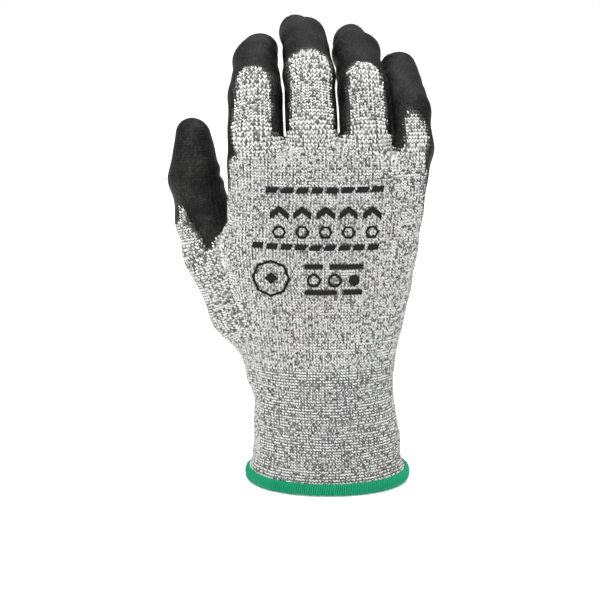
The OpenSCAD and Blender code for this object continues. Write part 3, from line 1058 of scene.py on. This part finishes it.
def tube(path, radii, turn, across):
    """Closed tube. The section at each point of the path starts at the direction in `across`."""
    sides = len(turn)
    ways = unit(np.gradient(path, axis=0))
    firsts = across(ways)
    points, faces = [], []
    for i, (point, radius) in enumerate(zip(path, radii)):
        points.append(point + radius * circle(turn, firsts[i], np.cross(ways[i], firsts[i])))
        for j in range(sides if i else 0):
            k = (j + 1) % sides
            a, b = (i - 1) * sides, i * sides
            faces.append([a + j, a + k, b + k, b + j])
    faces.append(list(reversed(range(sides))))
    faces.append([i * sides + j for j in range(sides)])
    return np.concatenate(points), faces


LEG_SIDES = 4


def stitch_object(name, leg):
    """Both legs of a V, sized so that a wale and a course are 1. Each half leg has a number."""
    points, faces, parts = [], [], []
    upper_faces = [*range(2 * LEG_SIDES, 3 * LEG_SIDES), 3 * LEG_SIDES + 1]
    for side in (-1, 1):
        path = np.array([(side * x, y, z) for x, y, z, _ in leg])
        tube_points, tube_faces = tube(
            path, [r for *_, r in leg], full_turn(LEG_SIDES, 0.5),
            lambda ways: unit(np.cross(ways, [0.0, 0.0, 1.0])),
        )
        start = sum(len(p) for p in points)
        points.append(tube_points)
        for i, face in enumerate(tube_faces):
            faces.append([start + v for v in face])
            parts.append((0 if side < 0 else 2) + int(i in upper_faces))
    mesh = smooth_mesh(name, np.concatenate(points), faces)
    mesh.attributes.new("part", "INT", "FACE").data.foreach_set("value", np.array(parts, np.int32))
    bm = bmesh.new()
    bm.from_mesh(mesh)
    bmesh.ops.recalc_face_normals(bm, faces=bm.faces)
    bm.to_mesh(mesh)
    bm.free()
    return bpy.data.objects.new(name, mesh)


# Each row is across, up, out and radius, all in wales.
HAND_LEG = [
    (0.04, -0.46, -0.12, 0.13), (0.17, -0.18, 0.08, 0.21),
    (0.34, 0.12, 0.10, 0.21), (0.48, 0.38, -0.12, 0.13),
]
CUFF_LEG = [
    (0.06, -0.34, -0.14, 0.13), (0.22, -0.12, 0.10, 0.20),
    (0.40, 0.12, 0.12, 0.20), (0.52, 0.30, -0.12, 0.12),
]
HAND_STITCH = stitch_object("hand_stitch", HAND_LEG)
CUFF_STITCH = stitch_object("cuff_stitch", CUFF_LEG)
STITCH_FACES = len(HAND_STITCH.data.polygons)


# %% [markdown]
# ## A node tree that knits
# The tree takes a cloud of points. Each point knows the direction out of the fabric, the direction
# up the wale and the size of its stitch. The tree sets a stitch on each point, makes the copies
# real, and then draws a shade for every half leg. Right legs come out dark more often, because the
# twist of the yarn turns its dark fibre to that side. Points that the coating or the ink has
# reached carry a soak value and turn black.

# %% Knitting tree
# Shades from light to dark, each for draws below its limit.
SHADE_LIMITS = (2.0, 0.6, 0.36, 0.24, 0.14)
SOAK_SEED = 5
HALF_LEGS = 4.0
RIGHT_LEG_FROM = 1.5
SCRATCH_VALUES = ("part", "soaked", "outward", "upward", "size")


def new_tree(name, inputs):
    """A geometry node tree, and the sockets that bring in its inputs."""
    tree = bpy.data.node_groups.new(name, "GeometryNodeTree")
    for label, kind in {"Geometry": "Geometry", **inputs}.items():
        tree.interface.new_socket(label, in_out="INPUT", socket_type="NodeSocket" + kind)
    tree.interface.new_socket("Geometry", in_out="OUTPUT", socket_type="NodeSocketGeometry")
    return tree, add_node(tree, "NodeGroupInput").outputs


def named(tree, name, kind):
    node = add_node(tree, "GeometryNodeInputNamedAttribute", {"Name": name}, data_type=kind)
    return node.outputs["Attribute"]


def copies_on_points(tree, given, source, upward, size):
    """A copy of the source on each point, its Z outwards and its Y upwards."""
    shape = add_node(tree, "GeometryNodeObjectInfo", {"Object": source}).outputs["Geometry"]
    turn = add_node(tree, "FunctionNodeAxesToRotation", {
        "Primary Axis": named(tree, "outward", "FLOAT_VECTOR"), "Secondary Axis": upward,
    }, primary_axis="Z", secondary_axis="Y").outputs[0]
    return add_node(tree, "GeometryNodeInstanceOnPoints", {
        "Points": given["Geometry"], "Instance": shape, "Rotation": turn, "Scale": size,
    }).outputs[0]


def knitting_tree():
    tree, given = new_tree("knit_stitches", {
        "Stitch": "Object", "Faces in a stitch": "Int", "Dark right legs": "Float", "Seed": "Int",
    })
    copies = copies_on_points(
        tree, given, given["Stitch"], named(tree, "upward", "FLOAT_VECTOR"),
        named(tree, "size", "FLOAT_VECTOR"),
    )
    soaked = add_node(tree, "GeometryNodeStoreNamedAttribute", {
        "Geometry": copies, "Name": "soaked", "Value": named(tree, "soak", "FLOAT"),
    }, data_type="FLOAT", domain="INSTANCE").outputs[0]
    real = add_node(tree, "GeometryNodeRealizeInstances", {"Geometry": soaked}).outputs[0]
    face_number = add_node(tree, "GeometryNodeInputIndex").outputs[0]
    share = add_math(tree, "DIVIDE", face_number, given["Faces in a stitch"])
    stitch_number = add_math(tree, "FLOOR", share, 0.0)
    part = named(tree, "part", "INT")
    half_leg = add_math(tree, "ADD", add_math(tree, "MULTIPLY", stitch_number, HALF_LEGS), part)

    def draw(seed):
        return add_node(tree, "FunctionNodeRandomValue", {
            "ID": half_leg, "Seed": seed,
        }, data_type="FLOAT").outputs[1]

    right = add_math(tree, "GREATER_THAN", part, RIGHT_LEG_FROM)
    darker = add_math(tree, "MULTIPLY", right, given["Dark right legs"])
    shade = add_math(tree, "MULTIPLY", draw(given["Seed"]), add_math(tree, "SUBTRACT", 1.0, darker))
    choices = [
        (material, add_math(tree, "LESS_THAN", shade, limit))
        for material, limit in zip(reversed(YARN), SHADE_LIMITS)
    ]
    wet = add_math(tree, "GREATER_THAN", named(tree, "soaked", "FLOAT"), draw(SOAK_SEED))
    for material, chosen in choices + [(INKED_YARN, wet)]:
        real = add_node(tree, "GeometryNodeSetMaterial", {
            "Geometry": real, "Selection": chosen, "Material": material,
        }).outputs[0]
    add_node(tree, "NodeGroupOutput", {"Geometry": real})
    return tree


KNITTING = knitting_tree()


def run_tree(name, places, values, tree, settings):
    """Runs a tree on a cloud of places and keeps the result as a plain mesh object."""
    mesh = bpy.data.meshes.new(name + "_places")
    mesh.from_pydata((places * MM).tolist(), [], [])
    for key, value in values.items():
        store(mesh, key, value)
    cloud = put(name + "_places", mesh)
    modifier = cloud.modifiers.new("tree", "NODES")
    modifier.node_group = tree
    sockets = {s.name: s.identifier for s in tree.interface.items_tree if s.in_out == "INPUT"}
    for label, value in settings.items():
        modifier[sockets[label]] = value
    bpy.context.view_layer.update()
    evaluated = cloud.evaluated_get(bpy.context.evaluated_depsgraph_get())
    result = bpy.data.meshes.new_from_object(evaluated)
    result.name = name
    for leftover in [a.name for a in result.attributes if a.name in SCRATCH_VALUES]:
        result.attributes.remove(result.attributes[leftover])
    cloud.modifiers.remove(modifier)
    bpy.data.objects.remove(cloud)
    return put(name, result)


# %% [markdown]
# ## Laying out the stitches
# Wales run up the hand and courses run round it. The hand has the same number of wales all the
# way up, so the stitches are narrower at the wrist. Each digit is a tube of its own. The places
# are first found on the simple outline and then pulled onto the smooth skin, and a place is
# kept only where that part of the glove really is the skin, and where it isn't under the film.

# %% Stitch places
PLACES_TOP = 160
FINE_STEP = 0.5
SOFT_STEPS = 18
ROOM_BELOW_ROOT = np.array([0, 0, 12])
DEEPEST_PLACE = 7
BARE_LIMIT = 0.45


def hand_places():
    points, sizes, rib = [], [], []
    wales = np.arange(WALES_ROUND_HAND)
    for z in np.arange(EDGE_Z + 1.5, PLACES_TOP, COURSE):
        lengths = round_length(z)
        spots = (wales + 0.5) / WALES_ROUND_HAND * lengths[-1]
        points.append(oval_points(z, np.interp(spots, lengths, HAND_ANGLES)))
        sizes.append(np.full(WALES_ROUND_HAND, lengths[-1] / WALES_ROUND_HAND))
        rib.append(wales % 2)
    return np.concatenate(points), np.concatenate(sizes), np.concatenate(rib)


def interpolate_rows(at, places, rows):
    return np.stack([np.interp(at, places, rows[:, i]) for i in range(3)], -1)


def digit_places(digit):
    line = LINES[digit]
    radii = RADII[digit]
    if digit == "thumb":
        # One more centre below the ball lets the courses reach the whole heel of the hand.
        ball, ball_radii = zip(*[(THUMB_HEEL, THUMB_BALL[0][1])] + THUMB_BALL)
        centres = np.array([*ball, *line], float)
        radii = [*ball_radii, *radii]
    else:
        centres = np.concatenate([[line[0] - ROOM_BELOW_ROOT], line])
        radii = [radii[0], *radii]
    steps = np.concatenate([[0], np.cumsum(np.linalg.norm(np.diff(centres, axis=0), axis=1))])
    # The centre line is rounded off at the joints, so that the courses fan out evenly at a bend.
    fine = np.arange(0, steps[-1], FINE_STEP)
    fine_line = interpolate_rows(fine, steps, centres)
    window = np.hanning(2 * SOFT_STEPS + 1)
    window /= window.sum()
    beyond = np.arange(1, SOFT_STEPS + 1)[:, None] * FINE_STEP
    padded = np.concatenate([
        fine_line[0] - beyond[::-1] * unit(centres[1] - centres[0]),
        fine_line,
        fine_line[-1] + beyond * unit(centres[-1] - centres[-2]),
    ])
    soft = np.stack([np.convolve(padded[:, i], window, "valid") for i in range(3)], 1)
    soft_ways = unit(np.gradient(soft, axis=0))
    turn = full_turn(WALES_ROUND_DIGIT, 0.5) - np.pi
    points, sizes = [], []
    for s in np.arange(0, steps[-1], COURSE):
        way = unit(interpolate_rows(s, fine, soft_ways))
        inward = unit(PALM_SIDE[digit] - way * (PALM_SIDE[digit] @ way))
        radius = np.interp(s, steps, radii)
        ring_offsets = radius * circle(turn, inward, np.cross(inward, way))
        points.append(interpolate_rows(s, fine, soft) + ring_offsets)
        sizes.append(np.full(WALES_ROUND_DIGIT, 2 * np.pi * radius / WALES_ROUND_DIGIT))
    return np.concatenate(points), np.concatenate(sizes)


def keep_places(points, owner_number, wales):
    """Pulls places onto the skin. Drops those that are another part's or lie under the film."""
    placed = onto_surface(points)
    normals = outward(placed)
    edge = coating_edge(placed, normals)
    above = np.roll(placed, -wales, 0)
    above[-wales:] = placed[-wales:] + (placed[-wales:] - placed[-2 * wales:-wales])
    upward = above - placed
    spacing = np.clip(np.linalg.norm(upward, axis=1), 0.75 * COURSE, 1.9 * COURSE)
    upward = unit(upward - normals * (upward * normals).sum(1)[:, None])
    keep = (surface(points) > -DEEPEST_PLACE) & (owner_of(placed) == owner_number)
    keep &= (edge < BARE_LIMIT) & (placed[:, 2] > EDGE_Z)
    return keep, {
        "placed": placed, "normals": normals, "upward": upward, "spacing": spacing, "edge": edge,
    }


# %% [markdown]
# ## The print
# The back carries a black print. Two rows of slanted dashes frame plain shapes: chevrons
# that point to the fingertips, and rings. More rings and bars follow below. They are drawn flat in
# millimetres, as seen from the back, and the stitches below them take up the ink.

# %% Print shapes
DASH_GAP = 1.6
DASH_HEIGHT = 2.3
DASH_SLANT = 0.9
INK_TOP = 0.62
LINE_WIDTH = 1.0
BAR_HEIGHT = 1.8
COLUMNS = (-20, -10, 0, 10, 20)


def slanted(x, y, width, height, slant=0.0):
    return np.array([
        (x, y), (x + width, y), (x + width + slant, y + height), (x + slant, y + height),
    ])


def dash_row(left, right, height, count, rise):
    pitch = (right - left) / count
    shapes = []
    for i in range(count):
        y = height + rise * (i / (count - 1) - 0.5) - 0.5 * np.sin(np.pi * i / (count - 1))
        shapes.append(slanted(left + pitch * i, y, pitch - DASH_GAP, DASH_HEIGHT, DASH_SLANT))
    return shapes


def chevron(x, y, size):
    return np.array([
        (x - size, y), (x, y + size * 0.8), (x + size, y),
        (x + size, y + size * 0.75), (x, y + size * 1.55), (x - size, y + size * 0.75),
    ])


def dot(x, y, radius, sides):
    turn = np.linspace(0, 2 * np.pi, sides, endpoint=False)
    return np.stack([x + radius * np.cos(turn), y + radius * np.sin(turn)], 1)


def ring(x, y, radius, sides):
    """The border of a many-sided shape, as one four-sided piece for each side."""
    corners = dot(x, y, radius, sides)
    middle = corners.mean(0)
    reach = np.linalg.norm(corners - middle, axis=1, keepdims=True)
    inner = corners - (corners - middle) / reach * LINE_WIDTH
    following = np.roll(np.arange(sides), -1)
    return [np.array([corners[i], corners[j], inner[j], inner[i]]) for i, j in enumerate(following)]


PRINT_SHAPES = (
    dash_row(-26, 26, 133.5, 8, 0.8) + dash_row(-32, 24, 108.5, 9, -0.8)
    + [chevron(x, 121.5, 3.9) for x in COLUMNS]
    + [piece for x in COLUMNS for piece in ring(x, 116, 3.1, 6)]
    + ring(-23.5, 95.5, 8.3, 8) + [dot(-23.5, 95.5, 2.8, 4)]
    + [slanted(-9, 100.0, 8, BAR_HEIGHT), slanted(2, 100.0, 14, BAR_HEIGHT)]
    + [slanted(-9, 88.6, 14, BAR_HEIGHT), slanted(8, 88.6, 8, BAR_HEIGHT)]
    + ring(-5, 94.8, 3.1, 10) + ring(4, 94.8, 3.1, 10) + [dot(12.5, 94.8, 2.4, 16)]
)


def inside_shape(shape, x, y):
    hit = np.zeros(len(x), bool)
    for (xa, ya), (xb, yb) in zip(shape, np.roll(shape, -1, 0)):
        if ya != yb:
            crosses = ((ya > y) != (yb > y)) & (x < (xb - xa) * (y - ya) / (yb - ya) + xa)
            hit ^= crosses
    return hit


def inked(p):
    hit = np.zeros(len(p), bool)
    for shape in PRINT_SHAPES:
        hit |= inside_shape(shape, p[:, 0], p[:, 2])
    return hit & (p[:, 1] < 0)


# %% Knit the pieces
MOST_STITCHES = 3300
LEG_OVERLAP = 1.14
SOAK_WIDTH = 1.6
STITCH_LIFT = 0.10
RIB_LIFT = 0.16
RIB_END = 6
DARK_RIGHT_LEGS = 0.45
SEEDS_PER_ZONE = 10


def knit_piece(name, zone_name, cloud, stitch, seed):
    lift = STITCH_LIFT + RIB_LIFT * cloud["rib"]
    soak = np.clip(1 + cloud["edge"] / SOAK_WIDTH, 0, 1)
    soak[inked(cloud["placed"])] = 2.0
    depths = np.full(len(lift), WALE)
    scale = np.stack([cloud["sizes"], cloud["spacing"] * LEG_OVERLAP, depths], 1) * MM
    values = {
        "outward": cloud["normals"], "upward": cloud["upward"], "size": scale, "soak": soak,
    }
    piece = run_tree(name, cloud["placed"] + cloud["normals"] * lift[:, None], values, KNITTING, {
        "Stitch": stitch, "Faces in a stitch": STITCH_FACES,
        "Dark right legs": DARK_RIGHT_LEGS, "Seed": seed,
    })
    fasten(piece, zone_name, [])


def knit_region(label, places, sizes, rib, owner_number, wales, cuff_top=0.0):
    """Knits every zone of one tube. Large zones are cut into bands so no piece gets too heavy."""
    keep, cloud = keep_places(places, owner_number, wales)
    zone = zones_of(cloud["placed"])
    in_cuff = cloud["placed"][:, 2] < cuff_top
    cloud.update(sizes=sizes, rib=rib * in_cuff)
    for number in np.unique(zone[keep]):
        for band, stitch, chosen in (
            ("cuff", CUFF_STITCH, in_cuff), ("hand", HAND_STITCH, ~in_cuff),
        ):
            members = np.flatnonzero(keep & (zone == number) & chosen)
            parts = int(np.ceil(len(members) / MOST_STITCHES))
            for i, part in enumerate(np.array_split(members, parts) if parts else []):
                knit_piece(
                    f"knit_{label}_{ZONE_NAMES[number]}_{band}_{i + 1}", ZONE_NAMES[number],
                    {key: values[part] for key, values in cloud.items()},
                    stitch, int(number) * SEEDS_PER_ZONE + i,
                )
    return int(keep.sum())


CUFF_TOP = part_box("cuff_knit")[1].z / MM
made = knit_region("hand", *hand_places(), 0, WALES_ROUND_HAND, CUFF_TOP - RIB_END)
for digit in DIGITS:
    places, sizes = digit_places(digit)
    no_rib = np.zeros(len(sizes))
    made += knit_region(digit, places, sizes, no_rib, OWNER[digit], WALES_ROUND_DIGIT)
print("stitches:", made)
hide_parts("palm_knit", "cuff_knit")


# %% [markdown]
# ## Ink film
# Ink sits on top of the stitches as a thin skin. Each shape is cut into small faces, dropped onto
# the back of the hand and lifted to the top of the yarn.

# %% Ink
INK_THICKNESS = 0.14
INK_UNEVEN = 0.10
INK_START = -14.0
LONGEST_EDGE = 0.9


def flat_print():
    """The print shapes on a plane, as small triangles."""
    bm = bmesh.new()
    for shape in PRINT_SHAPES:
        bm.faces.new([bm.verts.new((x, 0, y)) for x, y in shape])
    bmesh.ops.triangulate(bm, faces=bm.faces)
    for _ in range(5):
        long_edges = [e for e in bm.edges if e.calc_length() > LONGEST_EDGE]
        if not long_edges:
            break
        bmesh.ops.subdivide_edges(bm, edges=long_edges, cuts=1)
        bmesh.ops.triangulate(bm, faces=bm.faces)
    bm.verts.index_update()
    points = np.array([v.co for v in bm.verts])
    triangles = np.array([[v.index for v in f.verts] for f in bm.faces])
    bm.free()
    return points, triangles


ink_points, ink_faces = flat_print()
ink_points[:, 1] = INK_START
for _ in range(8):
    ink_points[:, 1] += surface(ink_points)
ink_normals = outward(ink_points)
lift = (INK_TOP + INK_UNEVEN * speckle(ink_points, 2.0))[:, None]
outer = ink_points + ink_normals * lift
inner = ink_points + ink_normals * (lift - INK_THICKNESS)
a, b, c = (outer[ink_faces[:, i]] for i in range(3))
if (np.cross(b - a, c - a)[:, 1] < 0).mean() < 0.5:
    ink_faces = ink_faces[:, ::-1]
walls = [[q, p, p + len(outer), q + len(outer)] for p, q in boundary_edges(ink_faces).tolist()]
closed = ink_faces.tolist() + (ink_faces[:, ::-1] + len(outer)).tolist() + walls
ink_mesh = smooth_mesh("back_print_film", np.concatenate([outer, inner]) * MM, closed)
ink_mesh.materials.append(INK)
ink_mesh.normals_split_custom_set_from_vertices(
    unit(np.concatenate([ink_normals, -ink_normals])).tolist()
)
fasten(put("back_print_film", ink_mesh), "hand", ["back_print"])
print("ink faces:", len(ink_faces))


# %% [markdown]
# ## Hem
# An overlock machine trims the edge and wraps it with thread. The wrap makes a firm round roll.
# Under the thread lies a core that fills the roll, and its darker green is painted shade between the wraps.
# The thread itself is one slanted wrap copied round the wrist, and its spacing is the machine's stitch
# length.

# %% Hem core
HEM_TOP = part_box("hem_overlock")[1].z / MM
ROLL_HALF_HEIGHT = HEM_TOP / 2 + 0.1
ROLL_HALF_DEPTH = 1.55
CORE_POINTS = 180
CORE_SIDES = 16
WRAP_PITCH = 0.95
WRAP_RADIUS = 0.42
WRAP_TURN = 2.3
WRAP_SLANT = 0.9


def level_outs(points):
    """Directions away from a closed level loop, at each of its points."""
    ways = unit(np.roll(points, -1, 0) - np.roll(points, 1, 0))
    return np.cross(ways, [0.0, 0.0, 1.0])


def hem_path(count):
    lengths = round_length(HEM_TOP / 2)
    spots = np.arange(count) / count * lengths[-1]
    points = oval_points(HEM_TOP / 2, np.interp(spots, lengths, HAND_ANGLES))
    return points, level_outs(points)


def roll_section(turn, depth, height):
    """Offsets out and up on the rounded section of the roll."""
    return depth * np.cos(turn) - 0.35, height * np.sign(np.sin(turn)) * np.abs(np.sin(turn)) ** 0.8


def ring_of_sections(name, points, outs, out_offset, up_offset, material):
    count, sides = len(points), len(out_offset)
    rings = points[:, None, :] + outs[:, None, :] * out_offset[None, :, None]
    rings = rings + np.array([0.0, 0.0, 1.0]) * up_offset[None, :, None]
    index = np.arange(count * sides).reshape(count, sides)
    right, up = np.roll(index, -1, 0), np.roll(index, -1, 1)
    faces = np.stack([index, right, np.roll(right, -1, 1), up], 2).reshape(-1, 4)
    flat = rings.reshape(-1, 3)
    return mesh_piece(name, flat, faces, material, sheet_normals(flat, faces))


hem_points, hem_outs = hem_path(CORE_POINTS)
turn = full_turn(CORE_SIDES)
core_out, core_up = roll_section(turn, ROLL_HALF_DEPTH - 0.3, ROLL_HALF_HEIGHT - 0.35)
core = ring_of_sections("hem_core", hem_points, hem_outs, core_out, core_up, HEM_CORE)
fasten(core, "hand", ["hem_overlock"])


# %% Overlock wraps
def wrap_object():
    """One slanted wrap over the roll. X runs round the wrist, Y is up and Z is outwards."""
    turns = np.linspace(-WRAP_TURN, WRAP_TURN, 13)
    out, up = roll_section(turns, ROLL_HALF_DEPTH, ROLL_HALF_HEIGHT)
    path = np.stack([WRAP_SLANT * turns / WRAP_TURN, up, out], 1)
    points, faces = tube(
        path, np.full(len(path), WRAP_RADIUS), full_turn(5),
        lambda ways: unit(np.array([1.0, 0.0, 0.0]) - ways * ways[:, :1]),
    )
    return bpy.data.objects.new("overlock_wrap", smooth_mesh("overlock_wrap", points * MM, faces))


def wrapping_tree():
    tree, given = new_tree("overlock_wraps", {
        "Wrap": "Object", "Unevenness": "Float", "Seed": "Int", "Material": "Material",
    })
    least = add_math(tree, "SUBTRACT", 1.0, given["Unevenness"])
    size = add_node(tree, "FunctionNodeRandomValue", {
        "Min": least, "Max": 1.0, "Seed": given["Seed"],
    }, data_type="FLOAT").outputs[1]
    copies = copies_on_points(tree, given, given["Wrap"], (0.0, 0.0, 1.0), size)
    real = add_node(tree, "GeometryNodeRealizeInstances", {"Geometry": copies}).outputs[0]
    done = add_node(tree, "GeometryNodeSetMaterial", {
        "Geometry": real, "Material": given["Material"],
    }).outputs[0]
    add_node(tree, "NodeGroupOutput", {"Geometry": done})
    return tree


wrap_count = int(round_length(HEM_TOP / 2)[-1] / WRAP_PITCH)
wrap_points, wrap_outs = hem_path(wrap_count)
wraps = run_tree("hem_overlock_thread", wrap_points, {"outward": wrap_outs}, wrapping_tree(), {
    "Wrap": wrap_object(), "Unevenness": 0.08, "Seed": 3, "Material": HEM_THREAD,
})
fasten(wraps, "hand", [])
print("overlock wraps:", wrap_count)


# %% [markdown]
# ## Elastic rounds
# Elastic yarn is laid into the cuff so that it closes on the wrist. It shows only from inside,
# as pale rings that lie against the knit.

# %% Elastic
ROUNDS = 6
ROUND_POINTS = 120
ROUND_RADIUS = 0.32
ROUND_DEPTH = GROUND_BOTTOM - 0.35
ROUND_MARGIN = 0.25
elastic_low, elastic_high = (corner.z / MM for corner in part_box("cuff_elastic"))
turn = full_turn(6)
angles = np.linspace(-np.pi, np.pi, ROUND_POINTS, endpoint=False)
for i in range(ROUNDS):
    z = elastic_low + ROUND_MARGIN
    z += (elastic_high - elastic_low - 2 * ROUND_MARGIN) * i / (ROUNDS - 1)
    loop = oval_points(z, angles, ROUND_DEPTH)
    piece = ring_of_sections(
        f"elastic_round_{i + 1}", loop, level_outs(loop),
        ROUND_RADIUS * np.cos(turn), ROUND_RADIUS * np.sin(turn), ELASTIC,
    )
    fasten(piece, "hand", ["cuff_elastic"])
print("elastic rounds:", ROUNDS)


# %% [markdown]
# ## Studio
# A pale floor, one large soft key light close to the front, one from above, a weak fill from the
# right and a bright room give even, shadowless light. The camera stands a little above the
# glove and looks at the back of the hand with a long lens.

# %% Floor, lights and camera
def area_light(name, place, aim, size, power):
    light = bpy.data.lights.new(name, "AREA")
    light.shape = "SQUARE"
    light.size = size
    light.energy = power
    lamp = put(name, light)
    lamp.location = place
    lamp.rotation_euler = (Vector(aim) - Vector(place)).to_track_quat("-Z", "Y").to_euler()


AIM = Vector((-11.0, 0.0, 81.0)) * MM
area_light("key", (-0.25, -0.75, 0.9), AIM, 0.6, 12)
area_light("fill", (0.8, -0.6, 0.4), AIM, 0.9, 1)
area_light("top", (0.0, 0.05, 1.1), AIM, 0.8, 15)

FLOOR_HALF = 6
FLOOR_Z = -0.0006
floor_corners = [
    (x * FLOOR_HALF, y * FLOOR_HALF, FLOOR_Z) for x, y in ((-1, -1), (1, -1), (1, 1), (-1, 1))
]
floor_mesh = bpy.data.meshes.new("floor")
floor_mesh.from_pydata(floor_corners, [], [(0, 1, 2, 3)])
floor_material, floor_tree = new_material("pale_floor")
finish_material(floor_tree, {
    "Base Color": linear("#F7F7F7"), "Roughness": 0.9,
    "Emission Color": linear("#FFFFFF"), "Emission Strength": 0.35,
})
floor_mesh.materials.append(floor_material)
floor = put("floor", floor_mesh)

world = bpy.data.worlds.new("room")
world.use_nodes = True
background = world.node_tree.nodes["Background"].inputs
background["Color"].default_value = linear("#FFFFFF")
background["Strength"].default_value = 0.56
bpy.context.scene.world = world
bpy.context.scene.view_settings.view_transform = "Standard"

CAMERA_DISTANCE = 0.9
CAMERA_RISE = np.radians(15)
camera = put("camera", bpy.data.cameras.new("camera"))
camera.data.lens = 122
camera.data.sensor_width = 36
camera.data.shift_y = 0.004
camera.location = AIM + Vector((0, -np.cos(CAMERA_RISE), np.sin(CAMERA_RISE))) * CAMERA_DISTANCE
camera.rotation_euler = (AIM - camera.location).to_track_quat("-Z", "Y").to_euler()
bpy.context.scene.camera = camera
